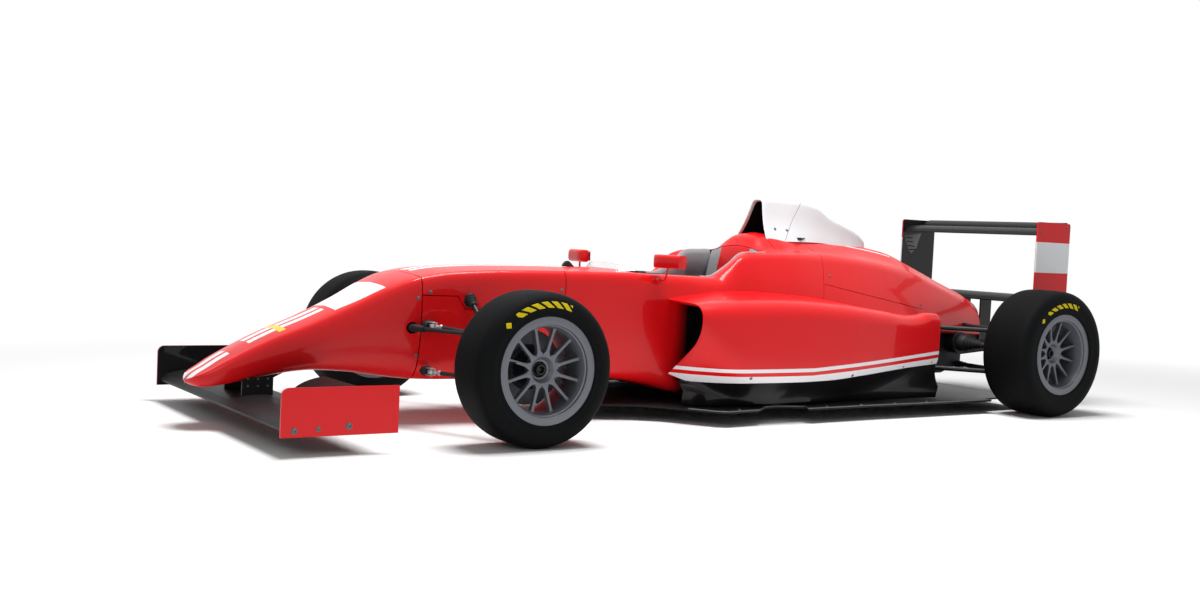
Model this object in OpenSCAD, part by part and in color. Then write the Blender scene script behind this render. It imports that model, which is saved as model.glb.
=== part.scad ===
// Open wheel single-seat racing car.
// Millimetres. +X forward, +Y to the driver's left, +Z up, tyres standing on z = 0.

/* [Car] */
// Distance between the front and the rear axle
wheelbase = 2750; // [2300:10:3300]
// Front axle ahead of the origin
front_axle_x = 1105; // [950:5:1300]
// Half track: car centre line to the middle of a front tyre
front_track_half = 692; // [650:1:830]
// Half track: car centre line to the middle of a rear tyre
rear_track_half = 642; // [610:1:770]

/* [Wheels] */
// Outer radius of a front tyre
front_tyre_r = 265; // [255:1:275]
// Width of a front tyre
front_tyre_w = 215; // [200:1:230]
// Outer radius of a rear tyre
rear_tyre_r = 287; // [278:1:300]
// Width of a rear tyre
rear_tyre_w = 250; // [240:1:270]
// Radius of the rim's bead seat
bead_r = 165; // [160:1:170]
// Height of the rim's flange above the bead seat
flange_h = 17; // [12:1:20]
// Wall of the rim's barrel
rim_wall = 7; // [4:0.5:9]
// Spokes in a wheel
spokes = 12; // [8:1:14]
// Radius of the brake disc
disc_r = 130; // [110:1:136]
// Radius of the spindle that a front hub turns on
spindle_r = 17; // [12:1:19]
// Radius of the stub shaft that a rear hub turns with
stub_r = 22; // [16:1:25]

/* [Steering] */
// Kingpin axis inboard of the middle of the front tyre
kingpin_in = 92; // [88:1:96]
// Length of the steering arm
steer_arm = 70; // [60:1:84]
// Radius of the rack bar
rack_r = 11; // [8:0.5:13]
// Outer radius of the steering wheel
steering_wheel_r = 135; // [110:1:140]
// Rake of the steering column above the horizontal
column_rake = 12; // [6:0.5:14]

/* [Body] */
// Nose tip ahead of the front axle
nose_reach = 970; // [900:5:1050]
// Split between nose and tub, ahead of the front axle
split_reach = 185; // [170:5:200]
// Rear bulkhead of the tub, behind the origin
bulkhead_x = -470; // [-500:5:-440]
// Wall of the tub
tub_wall = 14; // [8:1:18]
// Wall of the bodywork panels
panel_wall = 4; // [3:0.5:6]
// Gap between neighbouring panels
panel_gap = 0.8; // [0.6:0.1:0.9]
// Half width of the cockpit opening
cockpit_half = 190; // [160:1:205]
// Front edge of the cockpit opening
cockpit_front_x = 335; // [300:5:360]
// Top face of the floor
floor_top = 62; // [58:1:66]
// Thickness of the floor
floor_t = 10; // [6:1:14]

/* [Wings] */
// Half span of the front wing
front_wing_half = 679; // [600:1:700]
// Front wing leading edge ahead of the front axle
front_wing_reach = 875; // [860:5:890]
// Chord of the front endplates
front_plate_chord = 390; // [360:5:420]
// Half span of the rear wing
rear_wing_half = 434; // [400:1:450]
// Top of the rear endplates
rear_wing_top = 891; // [850:1:930]
// Rear wing trailing edge behind the rear axle
rear_wing_reach = 431; // [420:1:450]
// Chord of the rear endplates
rear_plate_chord = 245; // [235:5:260]
// Thickness of the endplates
plate_t = 8; // [5:0.5:10]

/* [Hidden] */

$fn = 48;

fit = 0.05;              // radial clearance of a shaft in its bore
fx = front_axle_x;
rx = front_axle_x - wheelbase;
nose_tip_x = fx + nose_reach;
split_x = fx + split_reach;
tail_x = rx - 240;       // end of the engine cover
wing_te_x = rx - rear_wing_reach;
rim_r = bead_r + flange_h;
front_rim_w = front_tyre_w - 17;
rear_rim_w = rear_tyre_w - 20;
kingpin_y = front_track_half - kingpin_in;
upper_eye_z = front_tyre_r + 80;
lower_eye_z = front_tyre_r - 67;
pin_r = 8;               // kingpin stubs in the wishbone eyes
eye_r = 17;
eye_h = 24;
leg_r = 11;              // tubes of the wishbones
rack_x = split_x + 32;
rack_z = front_tyre_r + 95;
rack_half = 205;         // half length of the rack bar
housing_r = 24;
housing_half = 115;
arm_eye_y = kingpin_y - 5;
arm_pin_r = 5;
rod_eye_gap = 6;         // room around the steering arm's pin for the opened linkage

// ---------------------------------------------------------------- helpers

function mix(a, b, t) = a + (b - a) * t;
function spow(v, e) = sign(v) * pow(abs(v), e);

// Ring of a rounded section in a plane of constant x: centre y0, half width w, bottom z0,
// top z1, squareness n, lean k that widens the top, inset by a wall.
function ring(x, y0, w, z0, z1, n, k, sides, wall = 0) =
    [for (i = [0 : sides - 1])
        let (a = 360 * (i + 0.5) / sides,
             s = spow(sin(a), 2 / n),
             hw = w - wall,
             hz = (z1 - z0) / 2 - wall)
        [x, y0 + hw * (1 + k * s) * spow(cos(a), 2 / n), (z0 + z1) / 2 + hz * s]];

// Closed solid over rings of equal length, first ring foremost.
module skin(rings) {
    n = len(rings[0]);
    m = len(rings);
    polyhedron(
        points = [for (r = rings) each r],
        faces = concat(
            [[for (i = [n - 1 : -1 : 0]) i]],
            [for (s = [0 : m - 2], i = [0 : n - 1])
                let (a = s * n + i, b = s * n + (i + 1) % n)
                each [[a, b, b + n], [a, b + n, a + n]]],
            [[for (i = [0 : n - 1]) (m - 1) * n + i]]),
        convexity = 8);
}

// Triangulated result of a boolean between shells.
module shell() { resize([0, 0, 0]) render(convexity = 8) children(); }

module both_sides() { children(); mirror([0, 1, 0]) children(); }

// Round bar from a to b.
module rod(a, b, r) {
    v = b - a;
    translate(a) rotate([0, acos(v.z / norm(v)), atan2(v.y, v.x)]) cylinder(r = r, h = norm(v));
}

// Box between two opposite corners.
module block(lo, hi) { translate(lo) cube(hi - lo); }

// Bar lying across the car, centred on y.
module cross_bar(x, z, r, half) { translate([x, half, z]) rotate([90, 0, 0]) cylinder(r = r, h = 2 * half); }

// Wing section: chord c from the leading edge at the origin rearwards (-x), thickness t, camber m.
module aerofoil(c, t, m) {
    steps = 12;
    top = [for (i = [0 : steps]) let (u = i / steps)
            [-c * u, t * 1.6 * sqrt(u) * (1 - u) + t * 0.12 + 4 * m * u * (1 - u)]];
    low = [for (i = [steps : -1 : 0]) let (u = i / steps)
            [-c * u, -t * 0.7 * sqrt(u) * (1 - u) - t * 0.12 + 4 * m * u * (1 - u)]];
    polygon(concat(top, low));
}

// Wing plane across the car: leading edge at x and z, pitched up at the rear.
module plane(x, z, c, t, m, pitch, y0, y1) {
    translate([x, y1, z]) rotate([90, 0, 0]) linear_extrude(height = y1 - y0)
        rotate([0, 0, -pitch]) aerofoil(c, t, m);
}

// ---------------------------------------------------------------- body sections

// Nose: share of the way from tip to split, half width, bottom, top, squareness
nose_table = [
    [0.00,  38, 152, 172, 2.2],
    [0.03,  78, 143, 198, 2.4],
    [0.14, 106, 148, 245, 2.9],
    [0.34, 124, 178, 325, 3.2],
    [0.54, 140, 194, 392, 3.4],
    [0.72, 158, 193, 458, 3.6],
    [0.87, 184, 180, 520, 3.9],
    [1.00, 207, 170, 554, 4.2]];

// Tub: x, half width, bottom, top, squareness
tub_table = [
    [split_x,              207, 170, 554, 4.2],
    [fx + 60,              219, 166, 576, 4.4],
    [fx - 150,             232, 164, 588, 4.6],
    [fx - 400,             246, 162, 592, 4.8],
    [cockpit_front_x + 90, 262, 154, 591, 5.0],
    [cockpit_front_x - 40, 272, 130, 586, 5.0],
    [90,                   276, floor_top, 577, 5.4],
    [-10,                  276, floor_top, 577, 5.4],
    [-120,                 272, floor_top, 664, 5.0],
    [bulkhead_x,           262, floor_top, 684, 4.6]];

// Engine cover: share of the way from bulkhead to tail, half width, bottom, top, squareness
cover_table = [
    [0.00, 300, 400, 768, 2.9],
    [0.16, 296, 392, 768, 2.8],
    [0.36, 268, 376, 750, 2.7],
    [0.53, 232, 352, 716, 2.6],
    [0.68, 190, 335, 655, 2.5],
    [0.84, 138, 325, 575, 2.5],
    [0.95, 100, 318, 508, 2.6],
    [1.00,  82, 316, 470, 2.8]];

// Sidepod: share of the way from inlet to tail, inner y, outer y, bottom, top, squareness
pod_table = [
    [0.00, 284, 512, 212, 482, 4.0],
    [0.06, 283, 530, 120, 496, 4.0],
    [0.14, 283, 540, floor_top - 8, 505, 4.2],
    [0.34, 283, 542, floor_top - 8, 512, 4.2],
    [0.55, 283, 524, floor_top - 8, 492, 4.2],
    [0.75, 280, 486, floor_top - 8, 462, 4.2],
    [0.92, 262, 440, floor_top - 8, 446, 4.2],
    [1.00, 254, 420, floor_top - 8, 420, 4.2]];

pod_front_x = 236;
pod_tail_x = rx + 425;
duct_end_x = pod_front_x - 420;
pod_web = 20;            // bulkhead across the sidepod behind the radiator

function nose_rings() = [for (t = nose_table)
    ring(mix(nose_tip_x, split_x + panel_gap, t[0]), 0, t[1], t[2], t[3], t[4], -0.10, 28)];
function tub_rings(wall) = [for (t = tub_table) ring(t[0], 0, t[1], t[2], t[3], t[4], 0.02, 28, wall)];
function cover_rings(wall) = [for (t = cover_table)
    ring(mix(bulkhead_x - panel_gap, tail_x, t[0]), 0, t[1], t[2], t[3], t[4], -0.04, 28, wall)];
function pod_rings(wall) = [for (t = pod_table)
    ring(mix(pod_front_x, pod_tail_x, t[0]), (t[1] + t[2]) / 2, (t[2] - t[1]) / 2, t[3], t[4], t[5],
         0, 24, wall)];

cockpit_rear_x = bulkhead_x + 130;
hatch_front_x = split_x - panel_gap;
hatch_rear_x = fx - 400;
hatch_z = 480;

// ---------------------------------------------------------------- body

// Volume of the damper hatch opening, grown by a gap.
module hatch_zone(gap) {
    block([hatch_rear_x - gap, -260, hatch_z - gap], [hatch_front_x + gap, 260, 640]);
}

// Inner volume of the tub between two stations.
module tub_cavity(x0, x1) {
    intersection() {
        skin(tub_rings(tub_wall));
        block([x0, -400, 0], [x1, 400, 900]);
    }
}

suspension_z = [upper_eye_z + 27, lower_eye_z + 8];
pickup_front_x = split_x - 22;
pickup_rear_x = fx - 185;
pickup_y = 236;          // outer face of the wishbone pickups on the tub

module monocoque() {
    color("firebrick") shell() union() {
        difference() {
            skin(tub_rings(0));
            tub_cavity(bulkhead_x + tub_wall, split_x - tub_wall);
            hatch_zone(0);
            // cockpit opening
            block([cockpit_rear_x, -cockpit_half, 470], [cockpit_front_x, cockpit_half, 900]);
            // room for the pushrods into the tub
            for (s = [-1, 1]) rod([fx, s * 300, 420], [fx, s * 150, 540], 26);
        }
        // wishbone pickups
        for (s = [-1, 1], x = [pickup_front_x, pickup_rear_x], z = suspension_z)
            block([x - 18, min(s * 190, s * pickup_y), z - 14], [x + 18, max(s * 190, s * pickup_y), z + 14]);
    }
}

module nose_cone() {
    color("red") shell() difference() {
        skin(nose_rings());
        // tunnel for the steering rack and its housing
        cross_bar(rack_x, rack_z, housing_r + 6, 260);
        block([split_x - 5, -130, rack_z - housing_r - 6], [rack_x, 130, rack_z + housing_r + 6]);
    }
}

module damper_hatch() {
    color("red") shell() intersection() {
        difference() {
            skin(tub_rings(0));
            skin(tub_rings(panel_wall + 1));
        }
        hatch_zone(-panel_gap);
    }
}

// Roof of the hoop fairing: share of the way back, half width, base, top
fairing_table = [
    [0.00, 118, 742, 906],
    [0.10, 112, 745, 928],
    [0.30,  84, 750, 926],
    [0.55,  52, 752, 902],
    [0.78,  28, 752, 838],
    [1.00,  10, 744, 776]];
hoop_x = bulkhead_x + 10;
fin_end_x = hoop_x - 640;

// Upright fin section, straight sides drawn in to a narrow round top.
function fin_ring(x, w, z0, z1, wall) = [
    for (p = [[1, 0], [0.78, 0.35], [0.55, 0.70], [0.30, 0.94], [0, 1], [-0.30, 0.94], [-0.55, 0.70], [-0.78, 0.35], [-1, 0]])
        [x, p[0] * (w - wall), z0 + (z1 - z0 - wall) * p[1]]];

module hoop_body(wall) {
    skin([for (t = fairing_table)
        fin_ring(mix(hoop_x, fin_end_x, t[0]), t[1], t[2], t[3], wall)]);
}

module roll_hoop_fairing() {
    color("white") shell() difference() {
        hoop_body(0);
        // air intake
        intersection() {
            hoop_body(9);
            block([hoop_x - 170, -200, 0], [hoop_x + 5, 200, 1000]);
        }
        // seat on the engine cover and the headrest
        skin(cover_rings(0));
        block([bulkhead_x - panel_gap - 0.01, -300, 0], [hoop_x + 50, 300, 772.3]);
    }
}

module headrest() {
    color("red") shell() difference() {
        skin([
            ring(cockpit_rear_x + 144, 0, 126, 610, 752, 5, -0.08, 20),
            ring(cockpit_rear_x + 115, 0, 146, 590, 766, 5, -0.08, 20),
            ring(cockpit_rear_x + 40, 0, 166, 560, 772, 5, -0.08, 20),
            ring(bulkhead_x, 0, 168, 560, 772, 5, -0.08, 20)]);
        intersection() {
            skin(tub_rings(0));
            block([bulkhead_x - 50, -400, 0], [cockpit_rear_x, 400, 900]);
        }
    }
}

module engine_cover() {
    color("red") shell() difference() {
        skin(cover_rings(0));
        intersection() {
            skin(cover_rings(panel_wall));
            block([tail_x - 5, -400, 0], [bulkhead_x, 400, 900]);
        }
        // open underside around the engine and the gearbox
        linear_extrude(height = 440) both_sides() polygon([
            [bulkhead_x + 5, -1], [bulkhead_x + 5, engine_half + 10], [engine_rear_x - 5, engine_half + 10],
            [engine_rear_x - 6, 150], [crash_front_x, 110], [tail_x - 5, crash_half + 4], [tail_x - 5, -1]]);
        translate([0, 500, 0]) rotate([90, 0, 0]) linear_extrude(height = 1000) polygon([
            [bulkhead_x + 5, 0], [bulkhead_x + 5, 405], [pod_tail_x, 400], [crash_front_x - 60, 386],
            [tail_x + 20, 322], [tail_x - 5, 322], [tail_x - 5, 0]]);
        both_sides() pod_room();
        // room around the upper wishbone lugs
        for (x = [arm_front_x, arm_rear_x])
            block([x - 30, -300, rear_arm_z[0] - 30], [x + 30, 300, rear_arm_z[0] + 30]);
    }
}

// Sidepod volume with its panel gap, cut out of the engine cover.
module pod_room() {
    skin([for (t = pod_table) ring(mix(pod_front_x, pod_tail_x, t[0]), (t[1] + t[2]) / 2,
        (t[2] - t[1]) / 2 + panel_gap, t[3] - panel_gap, t[4] + panel_gap, t[5], 0, 24)]);
}

module sidepod() {
    color("red") shell() difference() {
        skin(pod_rings(0));
        pod_duct(duct_end_x, pod_front_x + 5);
        pod_duct(pod_tail_x - 5, duct_end_x - pod_web);
        skin(tub_rings(0));
        block([pod_tail_x - 50, 0, 0], [pod_front_x + 50, 800, floor_top]);
    }
}

// Air space inside a sidepod between two stations.
module pod_duct(x0, x1) {
    intersection() {
        skin(pod_rings(panel_wall + 2));
        block([x0, 0, floor_top + panel_wall], [x1, 800, 900]);
    }
}

module left_sidepod() { sidepod(); }
module right_sidepod() { mirror([0, 1, 0]) sidepod(); }

// Half outline of the floor from the front centre rearwards
floor_outline = [
    [fx - 430, 0], [fx - 430, 90], [330, 130], [pod_front_x, 270], [95, 517], [20, 519], [0, 505],
    [-160, 507], [-180, 519], [pod_tail_x, 500], [rx + rear_tyre_r + 30, 450],
    [rx + rear_tyre_r - 30, 330], [rx - 120, 330], [rx - 120, 0]];

module floor() {
    color("dimgray") union() {
        translate([0, 0, floor_top - floor_t]) linear_extrude(height = floor_t) union() {
            polygon(floor_outline);
            mirror([0, 1]) polygon(floor_outline);
        }
        // skid plank
        block([rx + 200, -130, floor_top - floor_t - 12], [fx - 500, 130, floor_top - 1]);
    }
}

// ---------------------------------------------------------------- wings

front_le_x = fx + front_wing_reach;
front_inner = front_wing_half - plate_t;

module front_main_plane() { plane(front_le_x - 14, 84, 250, 34, 6, 4, -front_inner, front_inner); }

module front_wing_planes() {
    color("dimgray") {
        front_main_plane();
        both_sides() plane(front_le_x - 232, 130, 132, 16, 5, 24, 150, front_inner);
    }
}

module front_wing_endplates() {
    color("red") both_sides() translate([0, front_wing_half, 0]) rotate([90, 0, 0])
        linear_extrude(height = plate_t) difference() {
            translate([front_le_x - front_plate_chord, 64]) square([front_plate_chord, 153]);
            translate([front_le_x - 25, 217 - 25]) difference() {
                square([26, 26]);
                circle(r = 25);
            }
        }
}

pylon_x = [fx + 690, fx + 800];

module nose_pylons() {
    color("black") shell() difference() {
        both_sides() block([pylon_x[0], 88, 100], [pylon_x[1], 98, 215]);
        skin(nose_rings());
        front_main_plane();
    }
}

module rear_wing_planes() {
    color("black") {
        plane(wing_te_x + rear_plate_chord - 14, 828, 170, 20, 10, 8, -rear_wing_half + plate_t, rear_wing_half - plate_t);
        plane(wing_te_x + 92, 866, 84, 9, 5, 20, -rear_wing_half + plate_t, rear_wing_half - plate_t);
        plane(wing_te_x + rear_plate_chord - 10, 500, 175, 22, 8, 8, -rear_wing_half + plate_t, rear_wing_half - plate_t);
    }
}

module rear_wing_endplates() {
    color("red") both_sides() translate([0, rear_wing_half, 0]) rotate([90, 0, 0])
        linear_extrude(height = plate_t) difference() {
            translate([wing_te_x, 470]) square([rear_plate_chord, rear_wing_top - 470]);
            for (c = [[wing_te_x + 12, 0], [wing_te_x + rear_plate_chord - 12, 1]])
                translate([c[0], rear_wing_top - 12]) mirror([1 - c[1], 0]) difference() {
                    square([13, 13]);
                    circle(r = 12);
                }
        }
}

crash_front_x = rx - 75;
crash_rear_x = rx - 330;
crash_half = 62;
jack_bore_z = 272;       // height of the towing and jacking bore

module rear_wing_struts() {
    color("black") shell() difference() {
        both_sides() block([wing_te_x + 105, crash_half, jack_bore_z + 22], [tail_x - 6, crash_half + 8, 512]);
        plane(wing_te_x + rear_plate_chord - 10, 500, 175, 22, 8, 8, -rear_wing_half, rear_wing_half);
        block([wing_te_x, -200, 511], [wing_te_x + 300, 200, 600]);
    }
}

module rear_crash_structure() {
    color("dimgray") difference() {
        translate([0, crash_half, 0]) rotate([90, 0, 0]) linear_extrude(height = 2 * crash_half)
            polygon([[crash_front_x, 215], [crash_front_x, 345], [crash_rear_x, 320], [crash_rear_x, 235]]);
        // towing and jacking bore
        cross_bar(crash_rear_x + 30, jack_bore_z, 8, 200);
    }
}

// ---------------------------------------------------------------- power train

engine_front_x = bulkhead_x - 40;
engine_rear_x = -1120;
engine_half = 190;
gearbox_half = 105;
rear_arm_z = [rear_tyre_r + 82, rear_tyre_r - 110];
arm_front_x = rx + 330;
arm_rear_x = rx - 55;
lug_y = gearbox_half + 22;
drive_flange_y = gearbox_half + 60;

module engine() {
    color("gray") block([engine_rear_x, -engine_half, floor_top], [engine_front_x, engine_half, 540]);
}

module gearbox() {
    color("dimgray") union() {
        translate([0, gearbox_half, 0]) rotate([90, 0, 0]) linear_extrude(height = 2 * gearbox_half)
            polygon([[engine_rear_x, 130], [engine_rear_x, 440], [rx + 260, 420], [rx - 10, 400],
                     [crash_front_x, 380], [crash_front_x, 180], [rx + 60, 135]]);
        for (s = [-1, 1], x = [arm_front_x, arm_rear_x], z = rear_arm_z)
            block([x - 16, min(0, s * lug_y), z - 14], [x + 16, max(0, s * lug_y), z + 14]);
        // drive flanges
        cross_bar(rx, rear_tyre_r, 52, drive_flange_y);
    }
}

module exhaust_pipe() {
    color("silver") translate([tail_x - 40, 28, 386]) rotate([0, 90, 0]) difference() {
        cylinder(r = 30, h = crash_front_x - tail_x + 40);
        translate([0, 0, -1]) cylinder(r = 27, h = crash_front_x - tail_x + 30);
    }
}

module radiators() {
    color("darkgray") shell() both_sides() difference() {
        pod_duct(duct_end_x, duct_end_x + 42);
        skin(tub_rings(0));
    }
}

// ---------------------------------------------------------------- cockpit

module seat() {
    color("black") shell() intersection() {
        translate([0, 160, 0]) rotate([90, 0, 0]) linear_extrude(height = 320)
            polygon([[160, 60], [160, 130], [40, 120], [-120, 160], [-300, 545], [-325, 545], [-325, 60]]);
        skin(tub_rings(tub_wall));
    }
}

wheel_centre = [cockpit_front_x - 65, 0, 455];
column_r = 10;
dash_back = 88;          // dash panel's rear face ahead of the steering wheel, along the column

// Column frame: z' points forward and down along the column from the wheel's centre.
module at_column() { translate(wheel_centre) rotate([0, 90 + column_rake, 0]) children(); }

module dash_panel() {
    color("dimgray") shell() difference() {
        intersection() {
            skin(tub_rings(tub_wall));
            at_column() translate([-260, -400, dash_back]) cube([320, 800, 12]);
        }
        at_column() cylinder(r = 30, h = 300);
    }
}

// Rack housing on the front bulkhead and column bearing on the dash panel.
module steering_mounts() {
    color("dimgray") {
        difference() {
            union() {
                cross_bar(rack_x, rack_z, housing_r, housing_half);
                block([split_x, -housing_half, rack_z - 18], [rack_x, housing_half, rack_z + 18]);
            }
            cross_bar(rack_x, rack_z, rack_r + fit, housing_half + 20);
        }
        at_column() difference() {
            union() {
                translate([0, 0, dash_back - 8]) cylinder(r = 42, h = 8);
                translate([0, 0, dash_back - 8]) cylinder(r = 24, h = 60);
            }
            cylinder(r = column_r + fit, h = 300);
        }
    }
}

module steering_wheel() {
    color("black") at_column() {
        rotate_extrude() translate([steering_wheel_r - 12, 0]) circle(r = 12);
        cylinder(r = 34, h = 22);
        for (a = [90, 270]) rotate([0, 0, a]) translate([0, -22, 0]) cube([steering_wheel_r - 12, 44, 7]);
        cylinder(r = column_r, h = dash_back + 80);
    }
}

// Low clear screen, a leaning arc on the tub's roof ahead of the cockpit.
module windscreen() {
    color("lightblue") shell() difference() {
        translate([cockpit_front_x - 85, 0, 540]) difference() {
            cylinder(r1 = 200, r2 = 176, h = 78, $fn = 40);
            translate([0, 0, -1]) cylinder(r1 = 196.5, r2 = 172.5, h = 80, $fn = 40);
        }
        block([-400, -400, 400], [cockpit_front_x + 4, 400, 800]);
        skin(tub_rings(0));
    }
}

mirror_lo = [244, 247, 606];
mirror_size = [70, 150, 55];

module mirrors() {
    color("red") shell() both_sides() difference() {
        union() {
            translate(mirror_lo) cube(mirror_size);
            rod([280, 232, 540], [280, 300, 612], 6, $fn = 16);
        }
        skin(tub_rings(0));
    }
}

// ---------------------------------------------------------------- front suspension

// Wishbone with its eye at e and its feet on two pickups. The lower one carries the pushrod.
module wishbone(e, feet, bore) {
    difference() {
        union() {
            translate(e - [0, 0, eye_h / 2]) cylinder(r = eye_r, h = eye_h);
            if (e.z == lower_eye_z) {
                block(push_foot - [22, 9, 9], push_foot + [22, 9, 9]);
                rod(push_foot, mix(push_foot, push_top, 0.09), 12);
            }
            for (f = feet) {
                rod(mix(e, f, 0.03), f + [0, 12, 0], leg_r);
                block(f - [12, 0, 12], f + [12, 24, 12]);
            }
        }
        translate(e - [0, 0, 30]) cylinder(r = bore, h = 60);
    }
}

module front_wishbones() {
    color("black") both_sides() for (i = [0, 1]) {
        z = [upper_eye_z, lower_eye_z][i];
        wishbone([fx, kingpin_y, z],
                 [for (x = [pickup_front_x, pickup_rear_x]) [x, pickup_y, suspension_z[i]]],
                 pin_r + fit);
    }
}

// Pushrod line from the lower wishbone up into the tub
push_foot = [fx, kingpin_y - 42, lower_eye_z];
push_top = [fx, 225, 478];

module pushrods() {
    color("black") both_sides() rod(mix(push_foot, push_top, 0.09), push_top, 9);
}

// Upright with its kingpin pins, spindle, caliper and steering arm.
module front_upright() {
    y = kingpin_y;
    color("dimgray") union() {
        translate([fx - 24, y - 15, lower_eye_z + eye_h / 2 + 1]) cube([48, 34, upper_eye_z - lower_eye_z - eye_h - 2]);
        translate([fx, y, lower_eye_z - eye_h / 2 - 8]) cylinder(r = pin_r, h = upper_eye_z - lower_eye_z + eye_h + 16);
        for (z = [lower_eye_z - eye_h / 2 - 9, upper_eye_z + eye_h / 2 + 1])
            translate([fx, y, z]) cylinder(r = 14, h = 8);
        // spindle
        translate([fx, y + 10, front_tyre_r]) rotate([-90, 0, 0]) cylinder(r = 48, h = 12);
        translate([fx, y + 10, front_tyre_r]) rotate([-90, 0, 0]) cylinder(r = spindle_r, h = 108);
        // steering arm and its pin
        block([fx, arm_eye_y - 12, rack_z - 46], [fx + steer_arm + 8, arm_eye_y + 12, rack_z - 34]);
        translate([fx + steer_arm, arm_eye_y, rack_z - 40]) cylinder(r = arm_pin_r, h = 58);
        // caliper carrier behind the axle
        block([fx - 150, y + 8, front_tyre_r - 12], [fx - 10, y + 18, front_tyre_r + 12]);
        difference() {
            block([fx - 147, y + 8, front_tyre_r - 40], [fx - 92, y + 76, front_tyre_r + 40]);
            translate([fx, y + 29, front_tyre_r]) rotate([-90, 0, 0]) cylinder(r = disc_r + 6, h = 30);
            translate([fx, y + 19, front_tyre_r]) rotate([-90, 0, 0]) cylinder(r = 90, h = 70);
        }
    }
}

module front_left_upright() { front_upright(); }
module front_right_upright() { mirror([0, 1, 0]) front_upright(); }

rod_eye_r = arm_pin_r + rod_eye_gap + 7;

module steering_rack() {
    color("silver") union() {
        cross_bar(rack_x, rack_z, rack_r, rack_half);
        both_sides() difference() {
            union() {
                rod([rack_x, rack_half - 8, rack_z], [fx + steer_arm, arm_eye_y, rack_z], 9);
                translate([fx + steer_arm, arm_eye_y, rack_z - 7]) cylinder(r = rod_eye_r, h = 14);
            }
            translate([fx + steer_arm, arm_eye_y, rack_z - 30]) cylinder(r = arm_pin_r + rod_eye_gap, h = 60);
        }
    }
}

// ---------------------------------------------------------------- rear suspension

rear_eye_y = rear_track_half - 82;

module rear_wishbones() {
    color("black") both_sides() for (z = rear_arm_z) union() {
        for (x = [arm_front_x, arm_rear_x]) {
            rod([x, lug_y + 12, z], [rx, rear_eye_y - 22, z], leg_r);
            block([x - 12, lug_y, z - 12], [x + 12, lug_y + 24, z + 12]);
        }
        block([rx - 20, rear_eye_y - 40, z - 14], [rx + 20, rear_eye_y - 15, z + 14]);
    }
}

module rear_uprights() {
    color("dimgray") both_sides() difference() {
        union() {
            block([rx - 35, rear_eye_y - 15, rear_arm_z[1] - 20], [rx + 35, rear_eye_y + 18, rear_arm_z[0] + 20]);
            block([rx + 10, rear_eye_y + 4, rear_tyre_r - 12], [rx + 150, rear_eye_y + 18, rear_tyre_r + 12]);
            difference() {
                block([rx + 92, rear_eye_y + 4, rear_tyre_r - 40], [rx + 147, rear_eye_y + 76, rear_tyre_r + 40]);
                translate([rx, rear_eye_y + 29, rear_tyre_r]) rotate([-90, 0, 0]) cylinder(r = disc_r + 6, h = 30);
                translate([rx, rear_eye_y + 19, rear_tyre_r]) rotate([-90, 0, 0]) cylinder(r = 90, h = 70);
            }
        }
        translate([rx, rear_eye_y - 30, rear_tyre_r]) rotate([-90, 0, 0]) cylinder(r = stub_r + fit, h = 60);
    }
}

// ---------------------------------------------------------------- wheels

// Axle frame of one wheel: side 1 is left, -1 right; z' points outboard from the tyre's middle.
module at_wheel(x, half_track, r, side) {
    translate([x, side * half_track, r]) rotate([-90 * side, 0, 0]) children();
}

// Tyre with round shoulders and bulged walls.
module tyre(r, w, rim_w) {
    c = 34;
    color("black") rotate_extrude($fn = 96) polygon(concat(
        [[bead_r, -rim_w / 2 + 9], [rim_r, -rim_w / 2 + 9]],
        [for (a = [0 : 15 : 90]) [r - c * 0.8 + c * 0.8 * sin(a), -w / 2 + c - c * cos(a)]],
        [for (a = [90 : -15 : 0]) [r - c * 0.8 + c * 0.8 * sin(a), w / 2 - c + c * cos(a)]],
        [[rim_r, rim_w / 2 - 9], [bead_r, rim_w / 2 - 9]]));
}

// Rim: barrel, flanges, spokes leaning in to the hub face at height hub_z.
module rim(rim_w, hub_z) {
    h = rim_w / 2;
    color("darkgray") union() {
        rotate_extrude($fn = 96) polygon([
            [bead_r - rim_wall, -h], [rim_r, -h], [rim_r, -h + 9], [bead_r, -h + 9],
            [bead_r, h - 9], [rim_r, h - 9], [rim_r, h], [bead_r - rim_wall, h]]);
        for (i = [0 : spokes - 1]) rotate([0, 0, 360 * i / spokes])
            translate([0, 7, 0]) rotate([90, 0, 0]) linear_extrude(height = 14)
                polygon([[46, hub_z - 14], [bead_r - rim_wall + 1, h - 48], [bead_r - rim_wall + 1, h - 26],
                         [46, hub_z - 2]]);
        translate([0, 0, hub_z - 16]) difference() {
            cylinder(r = 58, h = 16);
            translate([0, 0, -1]) cylinder(r = 30, h = 18);
        }
    }
}

hub_face_front = 24;     // rim's hub face outboard of the front tyre's middle
hub_face_rear = 10;

// Front hub on its spindle, with the brake disc inboard and the nut outboard.
module front_hub() {
    back = 16 - hub_face_front;
    color("dimgray") difference() {
        union() {
            translate([0, 0, -kingpin_in + 27]) cylinder(r = 34, h = kingpin_in - 27 - back);
            translate([0, 0, -kingpin_in + 35]) cylinder(r = disc_r, h = 18);
            translate([0, 0, -back - 8]) cylinder(r = 52, h = 8);
            translate([0, 0, -back]) cylinder(r = 29, h = 30);
            translate([0, 0, -back + 16]) cylinder(r = 36, h = 14);
        }
        translate([0, 0, -kingpin_in]) cylinder(r = spindle_r + fit, h = kingpin_in + 28);
    }
}

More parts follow.
